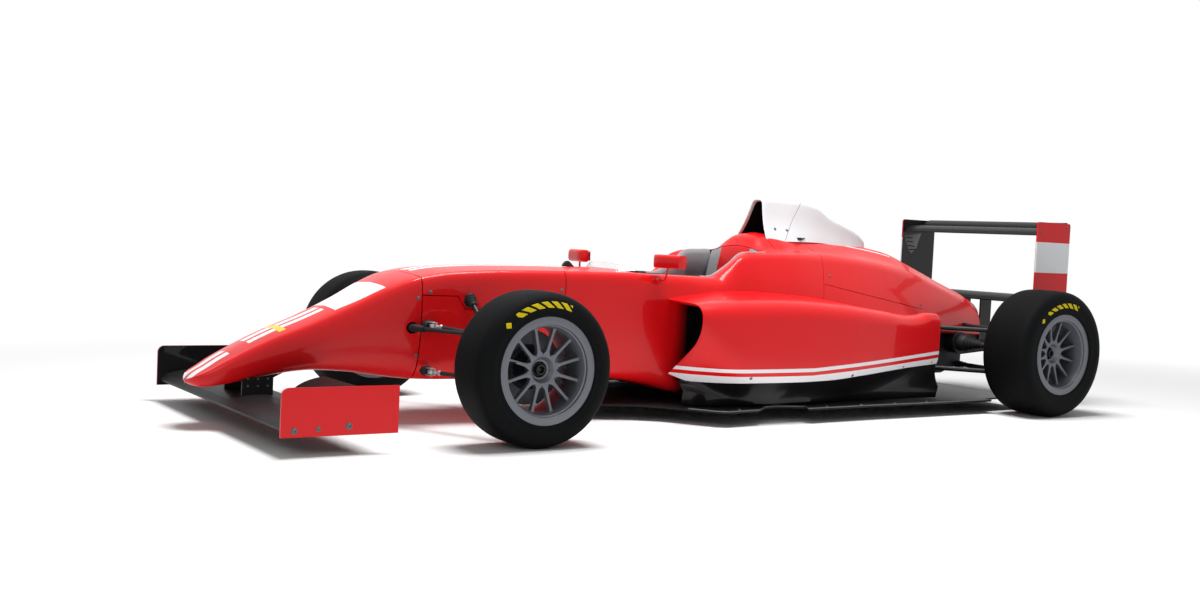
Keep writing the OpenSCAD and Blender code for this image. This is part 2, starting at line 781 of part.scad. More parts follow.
// Rear hub with its disc, stub shaft and half shaft.
module rear_hub() {
    back = 16 - hub_face_rear;
    up = rear_eye_y - rear_track_half;
    color("dimgray") union() {
        translate([0, 0, up + 24]) cylinder(r = 34, h = -up - 24 - back);
        translate([0, 0, up + 35]) cylinder(r = disc_r, h = 18);
        translate([0, 0, -back - 8]) cylinder(r = 52, h = 8);
        translate([0, 0, -back]) cylinder(r = 29, h = 30);
        translate([0, 0, -back + 16]) cylinder(r = 36, h = 14);
        translate([0, 0, up - 60]) cylinder(r = stub_r, h = 100);
        translate([0, 0, drive_flange_y + 5 - rear_track_half]) {
            cylinder(r = 14, h = rear_eye_y - drive_flange_y - 20);
            cylinder(r = 40, h = 40);
        }
    }
}

module front_left_tyre() { at_wheel(fx, front_track_half, front_tyre_r, 1) tyre(front_tyre_r, front_tyre_w, front_rim_w); }
module front_right_tyre() { at_wheel(fx, front_track_half, front_tyre_r, -1) tyre(front_tyre_r, front_tyre_w, front_rim_w); }
module rear_left_tyre() { at_wheel(rx, rear_track_half, rear_tyre_r, 1) tyre(rear_tyre_r, rear_tyre_w, rear_rim_w); }
module rear_right_tyre() { at_wheel(rx, rear_track_half, rear_tyre_r, -1) tyre(rear_tyre_r, rear_tyre_w, rear_rim_w); }
module front_left_rim() { at_wheel(fx, front_track_half, front_tyre_r, 1) rim(front_rim_w, hub_face_front); }
module front_right_rim() { at_wheel(fx, front_track_half, front_tyre_r, -1) rim(front_rim_w, hub_face_front); }
module rear_left_rim() { at_wheel(rx, rear_track_half, rear_tyre_r, 1) rim(rear_rim_w, hub_face_rear); }
module rear_right_rim() { at_wheel(rx, rear_track_half, rear_tyre_r, -1) rim(rear_rim_w, hub_face_rear); }
module front_left_hub() { at_wheel(fx, front_track_half, front_tyre_r, 1) front_hub(); }
module front_right_hub() { at_wheel(fx, front_track_half, front_tyre_r, -1) front_hub(); }
module rear_left_hub() { at_wheel(rx, rear_track_half, rear_tyre_r, 1) rear_hub(); }
module rear_right_hub() { at_wheel(rx, rear_track_half, rear_tyre_r, -1) rear_hub(); }

monocoque();
nose_cone();
damper_hatch();
front_wing_planes();
front_wing_endplates();
nose_pylons();
left_sidepod();
right_sidepod();
engine_cover();
roll_hoop_fairing();
headrest();
floor();
rear_wing_planes();
rear_wing_endplates();
rear_wing_struts();
rear_crash_structure();
gearbox();
engine();
seat();
windscreen();
mirrors();
front_wishbones();
rear_wishbones();
pushrods();
rear_uprights();
radiators();
dash_panel();
steering_mounts();
exhaust_pipe();
front_left_upright();
front_right_upright();
steering_rack();
steering_wheel();
front_left_tyre();
front_right_tyre();
rear_left_tyre();
rear_right_tyre();
front_left_rim();
front_right_rim();
rear_left_rim();
rear_right_rim();
front_left_hub();
front_right_hub();
rear_left_hub();
rear_right_hub();
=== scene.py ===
"""Looks of an open wheel single-seat racing car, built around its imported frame.

Each sub-assembly is a class that models its pieces with bmesh operators in the car's own frame
(metres, +X forward, +Y to the driver's left, +Z up), dresses them in procedural finishes and hangs
them on the CAD body that they move with.
"""
from __future__ import annotations

import logging
import math
from dataclasses import dataclass, field
from enum import Enum
from typing import Callable, Iterable, Optional, Sequence

import bmesh
import bpy
from mathutils import Matrix, Vector


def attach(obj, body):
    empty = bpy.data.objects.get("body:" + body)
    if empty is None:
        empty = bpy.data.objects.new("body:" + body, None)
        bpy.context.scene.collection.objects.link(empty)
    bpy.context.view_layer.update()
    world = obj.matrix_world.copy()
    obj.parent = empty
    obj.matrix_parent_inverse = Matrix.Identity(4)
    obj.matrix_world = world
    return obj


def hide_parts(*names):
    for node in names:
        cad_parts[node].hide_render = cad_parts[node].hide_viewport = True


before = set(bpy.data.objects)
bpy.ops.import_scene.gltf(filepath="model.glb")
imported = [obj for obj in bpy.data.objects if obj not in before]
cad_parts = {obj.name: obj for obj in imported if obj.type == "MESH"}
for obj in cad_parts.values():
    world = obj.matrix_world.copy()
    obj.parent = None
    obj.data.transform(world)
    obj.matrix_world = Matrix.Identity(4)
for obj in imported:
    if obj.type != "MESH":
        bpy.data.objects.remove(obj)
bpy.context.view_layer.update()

LOG = logging.getLogger("racing_car")
TAU = 2 * math.pi
SIDES = (1, -1)
X_AXIS = Vector((1, 0, 0))
Y_AXIS = Vector((0, 1, 0))
Z_AXIS = Vector((0, 0, 1))
Test = Callable[[Vector], bool]


# ------------------------------------------------------------------------------ shader expressions


class Num:
    """A number socket with Python's arithmetic; each operator adds one Math node."""

    def __init__(self, graph: "Graph", socket: bpy.types.NodeSocket) -> None:
        """Wrap a socket.

        Args:
            graph: The graph that holds the socket's node.
            socket: The output socket.
        """
        self.graph = graph
        self.socket = socket

    def __add__(self, other: "Num | float") -> "Num":
        """Sum."""
        return self.graph.math("ADD", self, other)

    def __radd__(self, other: float) -> "Num":
        """Reflected sum."""
        return self.graph.math("ADD", other, self)

    def __sub__(self, other: "Num | float") -> "Num":
        """Difference."""
        return self.graph.math("SUBTRACT", self, other)

    def __rsub__(self, other: float) -> "Num":
        """Reflected difference."""
        return self.graph.math("SUBTRACT", other, self)

    def __mul__(self, other: "Num | float") -> "Num":
        """Product."""
        return self.graph.math("MULTIPLY", self, other)

    def __rmul__(self, other: float) -> "Num":
        """Reflected product."""
        return self.graph.math("MULTIPLY", other, self)

    def __truediv__(self, other: "Num | float") -> "Num":
        """Quotient."""
        return self.graph.math("DIVIDE", self, other)

    def __abs__(self) -> "Num":
        """Absolute value."""
        return self.graph.math("ABSOLUTE", self)

    def above(self, edge: "Num | float", soft: float = 0.0006) -> "Num":
        """Mask of the values over an edge, with a soft step.

        Args:
            edge: Where the mask turns on.
            soft: Width of the step.

        Returns:
            A number from 0 to 1.
        """
        return self.graph.math("ADD", (self - edge) / soft, 0.5, clamp=True)

    def within(self, low: "Num | float", high: "Num | float", soft: float = 0.0006) -> "Num":
        """Mask of the values between two edges.

        Args:
            low: Lower edge.
            high: Upper edge.
            soft: Width of each step.

        Returns:
            A number from 0 to 1.
        """
        return self.above(low, soft) * (1 - self.above(high, soft))


class Graph:
    """A material's node tree, built from expressions."""

    def __init__(self, name: str) -> None:
        """Start an empty material.

        Args:
            name: Name of the material.
        """
        self.material = bpy.data.materials.new(name)
        self.material.use_nodes = True
        self.tree = self.material.node_tree
        self.tree.nodes.clear()
        self.place: Optional[bpy.types.NodeSocket] = None

    def node(self, kind: str, settings: dict, inputs: dict) -> bpy.types.Node:
        """Add a node.

        Args:
            kind: The node's type.
            settings: Properties set before the sockets.
            inputs: Value or link of each input, by name or index.

        Returns:
            The new node.
        """
        node = self.tree.nodes.new(kind)
        for key, value in settings.items():
            setattr(node, key, value)
        for key, value in inputs.items():
            if isinstance(value, Num):
                value = value.socket
            if isinstance(value, bpy.types.NodeSocket):
                self.tree.links.new(value, node.inputs[key])
            else:
                node.inputs[key].default_value = value
        return node

    def math(self, operation: str, *values: "Num | float", clamp: bool = False) -> Num:
        """Add a Math node.

        Args:
            operation: The node's operation.
            values: One to three numbers.
            clamp: Whether the result is kept within 0 and 1.

        Returns:
            The result.
        """
        settings = {"operation": operation, "use_clamp": clamp}
        node = self.node("ShaderNodeMath", settings, dict(enumerate(values)))
        return Num(self, node.outputs[0])

    def point(self) -> bpy.types.NodeSocket:
        """Object coordinates, which are the car's own frame."""
        if self.place is None:
            self.place = self.node("ShaderNodeTexCoord", {}, {}).outputs["Object"]
        return self.place

    def axes(self) -> tuple[Num, Num, Num]:
        """The three object coordinates as numbers."""
        node = self.node("ShaderNodeSeparateXYZ", {}, {0: self.point()})
        return Num(self, node.outputs[0]), Num(self, node.outputs[1]), Num(self, node.outputs[2])

    def facing(self) -> Num:
        """Height component of the surface's normal."""
        geometry = self.node("ShaderNodeNewGeometry", {}, {})
        split = self.node("ShaderNodeSeparateXYZ", {}, {0: geometry.outputs["Normal"]})
        return Num(self, split.outputs[2])

    def noise(self, scale: float, detail: float = 3.0, stretch: Sequence[float] = (1, 1, 1)) -> Num:
        """Noise in object coordinates.

        Args:
            scale: Cells per metre.
            detail: Octaves.
            stretch: Scale of the coordinates.

        Returns:
            The noise, about 0.5 on average.
        """
        mapping = self.node("ShaderNodeMapping", {}, {"Vector": self.point(), "Scale": stretch})
        inputs = {"Vector": mapping.outputs[0], "Scale": scale, "Detail": detail}
        return Num(self, self.node("ShaderNodeTexNoise", {}, inputs).outputs[0])

    def mix(self, factor: "Num | float", first: object, second: object) -> bpy.types.NodeSocket:
        """Blend of two colours.

        Args:
            factor: Share of the second colour.
            first: Colour or link.
            second: Colour or link.

        Returns:
            The blended colour's socket.
        """
        node = self.node("ShaderNodeMix", {"data_type": "RGBA"}, {0: factor, 6: first, 7: second})
        return node.outputs[2]

    def bump(self, height: Num, distance: float, strength: float = 1.0) -> bpy.types.NodeSocket:
        """Normal of a height field.

        Args:
            height: Height, in units of the distance.
            distance: Depth of the relief in metres.
            strength: Strength of the effect.

        Returns:
            The normal's socket.
        """
        inputs = {"Height": height, "Distance": distance, "Strength": strength}
        return self.node("ShaderNodeBump", {}, inputs).outputs[0]

    def close(self, inputs: dict) -> bpy.types.Material:
        """Finish the material with a Principled shader.

        Args:
            inputs: Values and links of the shader.

        Returns:
            The material.
        """
        shader = self.node("ShaderNodeBsdfPrincipled", {}, inputs)
        self.node("ShaderNodeOutputMaterial", {}, {0: shader.outputs[0]})
        return self.material


def rgba(red: float, green: float, blue: float) -> tuple[float, float, float, float]:
    """Opaque linear colour."""
    return (red, green, blue, 1.0)


RED = rgba(0.74, 0.0045, 0.0075)
WHITE = rgba(0.86, 0.87, 0.89)
BLACK = rgba(0.005, 0.005, 0.006)
YELLOW = rgba(0.78, 0.62, 0.012)


@dataclass(frozen=True)
class Finish:
    """A plain finish: one colour with fine variation, a grain in the relief and an optional coat."""

    name: str
    colour: tuple[float, float, float, float]
    rough: float = 0.45
    metal: float = 0.0
    coat: float = 0.0
    mottle: float = 0.12
    grain: float = 0.00004
    cells: float = 900.0
    gloss: float = 0.3

    def tint(self, graph: Graph) -> object:
        """Colour before its mottling.

        Args:
            graph: The material's graph.

        Returns:
            A colour or a link.
        """
        return self.colour

    def relief(self, graph: Graph) -> Num:
        """Height field of the surface's grain."""
        return graph.noise(self.cells, 2.0)

    def material(self) -> bpy.types.Material:
        """The finish as a material, made once."""
        made = bpy.data.materials.get(self.name)
        if made:
            return made
        graph = Graph(self.name)
        tint = self.tint(graph)
        broad = graph.noise(5.0, 4.0)
        fine = graph.noise(60.0, 3.0)
        colour = graph.mix((broad * 0.6 + fine * 0.4) * self.mottle, tint, BLACK)
        rough = (fine - 0.5) * 0.10 + (broad - 0.5) * 0.06 + self.rough
        inputs = {"Base Color": colour, "Roughness": rough, "Metallic": self.metal,
                  "Specular IOR Level": self.gloss}
        inputs["Normal"] = graph.bump(self.relief(graph), self.grain)
        if self.coat:
            inputs["Coat Weight"] = self.coat
            inputs["Coat Roughness"] = 0.03
        return graph.close(inputs)


class Livery(Enum):
    """Places of the body whose paint carries white stripes or panels."""

    PLAIN = "plain"
    NOSE = "nose"
    TUB = "tub"
    COVER = "cover"
    POD = "pod"
    FRONT_PLATE = "front_plate"
    REAR_PLATE = "rear_plate"


@dataclass(frozen=True)
class Lacquer(Finish):
    """Red lacquer under a clear coat, with the livery of one place."""

    livery: Livery = Livery.PLAIN

    def tint(self, graph: Graph) -> object:
        """Red with the place's white or black areas; on the tub, black painted shade on the side inside the inlet duct.
        """
        x, y, z = graph.axes()
        up = graph.facing()
        if self.livery is Livery.NOSE:
            return self.nose(graph, x, y, up)
        if self.livery is Livery.TUB:
            mask = self.twin_stripes(y) * up.above(0.3, 0.1) * x.within(0.575, 1.262)
            # Painted shade: the tub's side inside the sidepod inlet fades to black, as the shade in the duct.
            duct = x.within(-0.30, 0.165, 0.06) * z.within(0.10, 0.476, 0.012) * abs(y).above(0.2)
            return graph.mix(duct, graph.mix(mask, RED, WHITE), BLACK)
        if self.livery is Livery.COVER:
            line = abs(y) - (z * -0.02 + 0.062)
            return graph.mix(line.within(-0.0035, 0.0035) * x.within(-1.26, -0.47) * z.above(0.69), RED, WHITE)
        if self.livery is Livery.POD:
            return self.pod(graph, x, z)
        if self.livery is Livery.FRONT_PLATE:
            return graph.mix(abs(y).above(0.6728, 0.0004), BLACK, RED)
        if self.livery is Livery.REAR_PLATE:
            panel = graph.mix(z.within(0.649, 0.795), RED, WHITE)
            return graph.mix(abs(y).above(0.4275, 0.0004), BLACK, panel)
        return RED

    @staticmethod
    def twin_stripes(y: Num) -> Num:
        """Mask of the broad and the narrow stripe along the car's back."""
        return y.within(-0.056, -0.006) + y.within(0.014, 0.044)

    def nose(self, graph: Graph, x: Num, y: Num, up: Num) -> object:
        """Stripes in three runs, a yellow tab and the blank number panel.

        Args:
            graph: The material's graph.
            x: Length coordinate.
            y: Cross coordinate.
            up: Height component of the normal.

        Returns:
            The colour's link.
        """
        runs = x.within(1.935, 2.085) + x.within(1.598, 1.868)
        top = up.above(0.35, 0.1)
        striped = graph.mix(self.twin_stripes(y) * runs * top, RED, WHITE)
        tab = x.within(1.748, 1.772) * y.within(-0.085, 0.075) * top
        marked = graph.mix(tab, striped, YELLOW)
        half_width = 0.142 - (x - 1.406) * 0.23
        panel = x.within(1.406, 1.580) * (half_width - abs(y)).above(0.0) * top
        return graph.mix(panel, marked, WHITE)

    def pod(self, graph: Graph, x: Num, z: Num) -> object:
        """Two white lines over the skirt, following the pod's rising base.

        Args:
            graph: The material's graph.
            x: Length coordinate.
            z: Height.

        Returns:
            The colour's link.
        """
        rear = graph.math("MAXIMUM", x * -1.0 - 0.33, 0.0)
        lift = z - (0.1655 + rear * 0.062)
        broad = lift.within(-0.05, 0.027)
        narrow = lift.within(0.043, 0.058)
        return graph.mix(broad + narrow, RED, WHITE)


@dataclass(frozen=True)
class Weave(Finish):
    """Black laminate with a twill weave under lacquer."""

    pitch: float = 0.004

    def tint(self, graph: Graph) -> object:
        """Checks of two near-blacks."""
        scaled = {"Vector": graph.point(), "Scale": 1 / self.pitch}
        checks = graph.node("ShaderNodeTexChecker", {}, scaled)
        return graph.mix(Num(graph, checks.outputs[1]), self.colour, rgba(0.016, 0.016, 0.017))


@dataclass(frozen=True)
class Brushed(Finish):
    """Turned or brushed metal, its grain running round the wheel's axis or along a tube."""

    def relief(self, graph: Graph) -> Num:
        """Fine streaks."""
        return graph.noise(self.cells, 2.0, (1, 0.08, 1))


@dataclass(frozen=True)
class Rubber(Finish):
    """Slick tyre rubber with plain yellow wall marks around one wheel's axis."""

    axle: tuple[float, float, float] = (0.0, 0.0, 0.0)
    mark_radius: float = 0.223
    start_deg: float = 54.0

    def tint(self, graph: Graph) -> object:
        """Near-black with an arc of slanted yellow dashes and a small arrow on the outer wall."""
        x, y, z = graph.axes()
        across = x - self.axle[0]
        rise = z - self.axle[2]
        radius = graph.math("SQRT", across * across + rise * rise)
        angle = graph.math("ARCTAN2", rise, across) * (180 / math.pi)
        ring = radius - self.mark_radius
        slant = angle + ring * 320.0
        dash = graph.math("FRACT", (slant - self.start_deg) / 9.5).within(0.0, 0.66, 0.05)
        arc = angle.within(self.start_deg, self.start_deg + 56.5, 0.3) * ring.within(-0.0105, 0.0105)
        tip = (angle - self.start_deg + 11.0) * 0.0034
        arrow = angle.within(self.start_deg - 14.0, self.start_deg - 8.0, 0.3) * (0.012 - abs(ring) - abs(tip)).above(0.0)
        outer = (abs(y) - abs(self.axle[1])).above(0.03)
        base = graph.mix(ring.within(-0.03, 0.03, 0.01) * 0.5, self.colour, rgba(0.005, 0.0055, 0.006))
        return graph.mix((dash * arc + arrow) * outer, base, YELLOW)


LACQUER = Lacquer("red_lacquer", RED, rough=0.38, coat=0.3, gloss=0.15, mottle=0.05, grain=0.000006, cells=500)
WHITE_LACQUER = Finish("white_lacquer", rgba(0.80, 0.81, 0.83), rough=0.36, coat=0.5, mottle=0.04, grain=0.000006, cells=500)
GLOSS_BLACK = Finish("gloss_black", BLACK, rough=0.30, coat=0.22, gloss=0.15, mottle=0.2, grain=0.00001)
SATIN_BLACK = Finish("satin_black", rgba(0.011, 0.011, 0.012), rough=0.42, mottle=0.3, grain=0.00006)
LAMINATE = Weave("laminate", BLACK, rough=0.45, coat=0.04, gloss=0.12, mottle=0.15, grain=0.00002)
# Near-black painted shade, put inside the sidepod ducts, the intake's mouth and the rear plates' slots where only shade
# is seen.
SHADE_BLACK = Finish("painted_shade_black", rgba(0.003, 0.003, 0.003), rough=0.9, gloss=0.05, mottle=0.3, grain=0.0002, cells=200)
RIM_GREY = Brushed("rim_grey", rgba(0.155, 0.163, 0.185), rough=0.40, metal=0.55, grain=0.00002, cells=700)
RIM_DARK = Brushed("rim_dark", rgba(0.035, 0.036, 0.040), rough=0.45, metal=0.5, grain=0.00002, cells=700)
CASTING = Finish("casting", rgba(0.045, 0.047, 0.052), rough=0.55, metal=0.6, mottle=0.4, grain=0.0004, cells=260)
STEEL = Brushed("steel", rgba(0.42, 0.43, 0.45), rough=0.32, metal=0.9, mottle=0.2, grain=0.00004)
DARK_STEEL = Brushed("dark_steel", rgba(0.09, 0.09, 0.10), rough=0.42, metal=0.8, mottle=0.3, grain=0.00005)
PALE_PAD = Finish("pale_pad", rgba(0.34, 0.34, 0.36), rough=0.6, mottle=0.15, grain=0.0001)
RUBBER_BOOT = Finish("boot_rubber", rgba(0.007, 0.007, 0.008), rough=0.6, mottle=0.3, grain=0.0001)
CLOTH = Weave("seat_cloth", rgba(0.012, 0.012, 0.013), rough=0.85, mottle=0.3, grain=0.0004, pitch=0.003)


# ------------------------------------------------------------------------------------ mesh building


class Curve:
    """Smooth monotone curve through a few chosen values."""

    def __init__(self, *knots: tuple[float, float]) -> None:
        """Store the knots in rising order and work out their slopes.

        Args:
            knots: Pairs of position and value.
        """
        self.knots = sorted(knots)
        rises = [(b[1] - a[1]) / (b[0] - a[0]) for a, b in zip(self.knots, self.knots[1:])]
        self.slopes = [rises[0]]
        for left, right in zip(rises, rises[1:]):
            flat = left * right <= 0
            self.slopes.append(0.0 if flat else 2 * left * right / (left + right))
        self.slopes.append(rises[-1])

    def __call__(self, at: float) -> float:
        """Value at a position, held constant beyond the ends."""
        if at <= self.knots[0][0]:
            return self.knots[0][1]
        for i, (low, high) in enumerate(zip(self.knots, self.knots[1:])):
            if at <= high[0]:
                span = high[0] - low[0]
                t = (at - low[0]) / span
                hold, rise = (1 + 2 * t) * (1 - t) ** 2, t * (1 - t) ** 2
                end, fall = t * t * (3 - 2 * t), t * t * (t - 1)
                return (hold * low[1] + rise * span * self.slopes[i]
                        + end * high[1] + fall * span * self.slopes[i + 1])
        return self.knots[-1][1]


def rounded(points: Sequence[tuple[float, float]], cuts: Sequence[float], steps: int = 6) -> list[Vector]:
    """Open path with its inner corners rounded.

    Args:
        points: Corners of the path, ends included.
        cuts: Length trimmed off both edges at each inner corner.
        steps: Points on each rounded corner.

    Returns:
        Points of the path, the same number for any values.
    """
    path = [Vector(p) for p in points]
    out = [path[0]]
    for before, corner, after, cut in zip(path, path[1:], path[2:], cuts):
        back, ahead = before - corner, after - corner
        start = corner + back * min(0.48, cut / max(back.length, 1e-6))
        end = corner + ahead * min(0.48, cut / max(ahead.length, 1e-6))
        for i in range(steps):
            t = i / (steps - 1)
            out.append(start * (1 - t) ** 2 + corner * 2 * t * (1 - t) + end * t * t)
    out.append(path[-1])
    return out


class Shape:
    """A mesh in the making, with the operators that the car's pieces share."""

    def __init__(self) -> None:
        """Start empty."""
        self.bm = bmesh.new()

    @classmethod
    def loft(cls, rings: Sequence[Sequence[Vector]], closed: bool = False, capped: bool = False) -> "Shape":
        """Grid laid over rings of equal length.

        Args:
            rings: Rings of points, each from its first point to its last.
            closed: Whether each ring's ends are joined.
            capped: Whether the first and last rings are filled.

        Returns:
            The new shape.
        """
        shape = cls()
        rows, columns = len(rings), len(rings[0]) + (1 if closed else 0)
        grid = bmesh.ops.create_grid(shape.bm, x_segments=columns - 1, y_segments=rows - 1, size=1)
        for vert in grid["verts"]:
            column = round((vert.co.x + 1) / 2 * (columns - 1))
            row = round((vert.co.y + 1) / 2 * (rows - 1))
            vert.co = rings[row][column % len(rings[0])]
        bmesh.ops.remove_doubles(shape.bm, verts=shape.bm.verts, dist=1e-6)
        if capped:
            edges = [e for e in shape.bm.edges if e.is_boundary]
            bmesh.ops.holes_fill(shape.bm, edges=edges, sides=0)
        return shape.outward() if closed else shape

    @classmethod
    def box(cls, low: Sequence[float], high: Sequence[float], bevel: float = 0.0) -> "Shape":
        """Box between two corners, its edges rounded.

        Args:
            low: Lowest corner.
            high: Highest corner.
            bevel: Width of the rounding.

        Returns:
            The new shape.
        """
        shape = cls()
        low, high = Vector(low), Vector(high)
        size = Matrix.Diagonal((*(high - low), 1.0))
        bmesh.ops.create_cube(shape.bm, size=1, matrix=Matrix.Translation((low + high) / 2) @ size)
        return shape.bevelled(bevel, 2) if bevel else shape

    @classmethod
    def bar(cls, start: Vector, end: Vector, radius: float, end_radius: Optional[float] = None,
            sides: int = 24, flat: float = 1.0, bevel: float = 0.0) -> "Shape":
        """Round or oval bar between two points.

        Args:
            start: First end.
            end: Second end.
            radius: Radius at the start.
            end_radius: Radius at the end, the same if left out.
            sides: Sides of the section.
            flat: Height of the section as a share of its width.
            bevel: Rounding of the ends.

        Returns:
            The new shape.
        """
        shape = cls()
        start, end = Vector(start), Vector(end)
        line = end - start
        turn = line.to_track_quat("Z", "Y").to_matrix().to_4x4()
        place = Matrix.Translation((start + end) / 2) @ turn @ Matrix.Diagonal((1, flat, 1, 1))
        other = radius if end_radius is None else end_radius
        bmesh.ops.create_cone(shape.bm, cap_ends=True, cap_tris=False, segments=sides, radius1=radius,
                              radius2=other, depth=line.length, matrix=place)
        return shape.bevelled(bevel, 2, 60) if bevel else shape

    @classmethod
    def lathe(cls, profile: Sequence[tuple[float, float]], steps: int = 64, closed: bool = True) -> "Shape":
        """Profile spun about the Y axis.

        Args:
            profile: Pairs of place along the axis and radius.
            steps: Steps round the axis.
            closed: Whether the profile's ends are joined.

        Returns:
            The new shape.
        """
        shape = cls()
        verts = [shape.bm.verts.new((radius, along, 0)) for along, radius in profile]
        ring = list(zip(verts, verts[1:])) + ([(verts[-1], verts[0])] if closed else [])
        edges = [shape.bm.edges.new(pair) for pair in ring]
        bmesh.ops.spin(shape.bm, geom=verts + edges, cent=(0, 0, 0), axis=(0, 1, 0), angle=TAU, steps=steps,
                       use_merge=True)
        bmesh.ops.remove_doubles(shape.bm, verts=shape.bm.verts, dist=1e-6)
        return shape.outward()

    @classmethod
    def plate(cls, outline: Sequence[Sequence[float]], depth: Sequence[float], bevel: float = 0.0) -> "Shape":
        """Flat outline pushed out into a plate.

        Args:
            outline: Corners in space, in order.
            depth: Vector of the plate's thickness.
            bevel: Rounding of its edges.

        Returns:
            The new shape.
        """
        shape = cls()
        face = shape.bm.faces.new([shape.bm.verts.new(p) for p in outline])
        pushed = bmesh.ops.extrude_face_region(shape.bm, geom=[face])
        moved = [v for v in pushed["geom"] if isinstance(v, bmesh.types.BMVert)]
        bmesh.ops.translate(shape.bm, vec=Vector(depth), verts=moved)
        shape.outward()
        return shape.bevelled(bevel, 2, 30) if bevel else shape

    @classmethod
    def ball(cls, centre: Sequence[float], radius: float, squash: Sequence[float] = (1, 1, 1)) -> "Shape":
        """Ball, squashed along the axes.

        Args:
            centre: Its middle.
            radius: Its radius.
            squash: Scale along each axis.

        Returns:
            The new shape.
        """
        shape = cls()
        place = Matrix.Translation(Vector(centre)) @ Matrix.Diagonal((*squash, 1))
        bmesh.ops.create_uvsphere(shape.bm, u_segments=20, v_segments=12, radius=radius, matrix=place)
        return shape

    def outward(self) -> "Shape":
        """Turn every face outwards."""
        bmesh.ops.recalc_face_normals(self.bm, faces=self.bm.faces)
        return self

    def place(self, matrix: Matrix) -> "Shape":
        """Move the whole shape by a matrix, keeping its faces outwards."""
        bmesh.ops.transform(self.bm, matrix=matrix, verts=self.bm.verts)
        if matrix.determinant() < 0:
            bmesh.ops.reverse_faces(self.bm, faces=self.bm.faces)
        return self

    def shift(self, x: float, y: float, z: float) -> "Shape":
        """Move the whole shape by an offset."""
        return self.place(Matrix.Translation((x, y, z)))

    def add(self, *others: "Shape") -> "Shape":
        """Take in other shapes, which are used up.

        Args:
            others: Shapes to join.

        Returns:
            This shape.
        """
        for other in others:
            mesh = bpy.data.meshes.new("joined")
            other.bm.to_mesh(mesh)
            other.bm.free()
            self.bm.from_mesh(mesh)
            bpy.data.meshes.remove(mesh)
        return self

    def copy(self) -> "Shape":
        """Independent copy."""
        other = Shape()
        other.bm.free()
        other.bm = self.bm.copy()
        return other

    def both_sides(self) -> "Shape":
        """Add the mirror image across the car's middle plane."""
        return self.add(self.copy().place(Matrix.Diagonal((1, -1, 1, 1))))

    def trim(self, point: Sequence[float], away: Sequence[float]) -> "Shape":
        """Cut with a plane and drop what lies beyond it.

        Args:
            point: A point of the plane.
            away: Direction in which everything goes.

        Returns:
            This shape.
        """
        geometry = list(self.bm.verts) + list(self.bm.edges) + list(self.bm.faces)
        bmesh.ops.bisect_plane(self.bm, geom=geometry, dist=1e-6, plane_co=Vector(point),
                               plane_no=Vector(away), clear_outer=True)
        return self

    def score(self, point: Sequence[float], normal: Sequence[float]) -> "Shape":
        """Cut edges along a plane and keep both sides."""
        geometry = list(self.bm.verts) + list(self.bm.edges) + list(self.bm.faces)
        bmesh.ops.bisect_plane(self.bm, geom=geometry, dist=1e-6, plane_co=Vector(point),
                               plane_no=Vector(normal))
        return self

    def drop(self, test: Test) -> "Shape":
        """Delete the faces whose middle passes a test."""
        faces = [f for f in self.bm.faces if test(f.calc_center_median())]
        bmesh.ops.delete(self.bm, geom=faces, context="FACES")
        return self

    def groove(self, point: Sequence[float], normal: Sequence[float], width: float,
               where: Optional[Test] = None) -> "Shape":
        """Open a narrow gap along a plane, where a test allows it.

        Args:
            point: A point of the plane.
            normal: The plane's normal.
            width: Width of the gap.
            where: Test that a face's middle passes.

        Returns:
            This shape.
        """
        normal = Vector(normal).normalized()
        point = Vector(point)
        self.score(point + normal * width / 2, normal).score(point - normal * width / 2, normal)
        return self.drop(lambda c: abs((c - point).dot(normal)) < width / 2 and (where is None or where(c)))

    def thicken(self, wall: float) -> "Shape":
        """Give an open skin a wall on its inner side."""
        bmesh.ops.solidify(self.bm, geom=self.bm.faces[:], thickness=wall)
        return self

    def bevelled(self, width: float, segments: int = 2, over: float = 25.0) -> "Shape":
        """Round the edges that are sharper than an angle.

        Args:
            width: Width of the rounding.
            segments: Steps of the rounding.
            over: Least angle in degrees.

        Returns:
            This shape.
        """
        edges = [e for e in self.bm.edges if e.is_manifold and e.calc_face_angle(0.0) > math.radians(over)]
        bmesh.ops.bevel(self.bm, geom=edges, offset=width, offset_type="OFFSET", segments=segments,
                        profile=0.5, affect="EDGES", clamp_overlap=True, material=-1)
        return self

    def piece(self, name: str, body: str, finish: Finish, replaces: Iterable[str] = (),
              slot: Optional[str] = None, crease: float = 32.0) -> bpy.types.Object:
        """Make the object, dress it and hang it on its body.

        Args:
            name: Name of the piece.
            body: CAD body that it rides on.
            finish: Its finish.
            replaces: CAD nodes that it stands for.
            slot: Not used.
            crease: Angle over which an edge stays sharp.

        Returns:
            The object.
        """
        bmesh.ops.dissolve_degenerate(self.bm, dist=1e-6, edges=self.bm.edges)
        for face in self.bm.faces:
            face.smooth = True
        for edge in self.bm.edges:
            edge.smooth = edge.is_manifold and edge.calc_face_angle(0.0) < math.radians(crease)
        mesh = bpy.data.meshes.new(name)
        self.bm.to_mesh(mesh)
        self.bm.free()
        mesh.materials.append(finish.material())
        thing = bpy.data.objects.new(name, mesh)
        bpy.context.scene.collection.objects.link(thing)
        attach(thing, body)
        if replaces:
            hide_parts(*replaces)
        LOG.info("%s: %d faces on %s", name, len(mesh.polygons), body)
        return thing


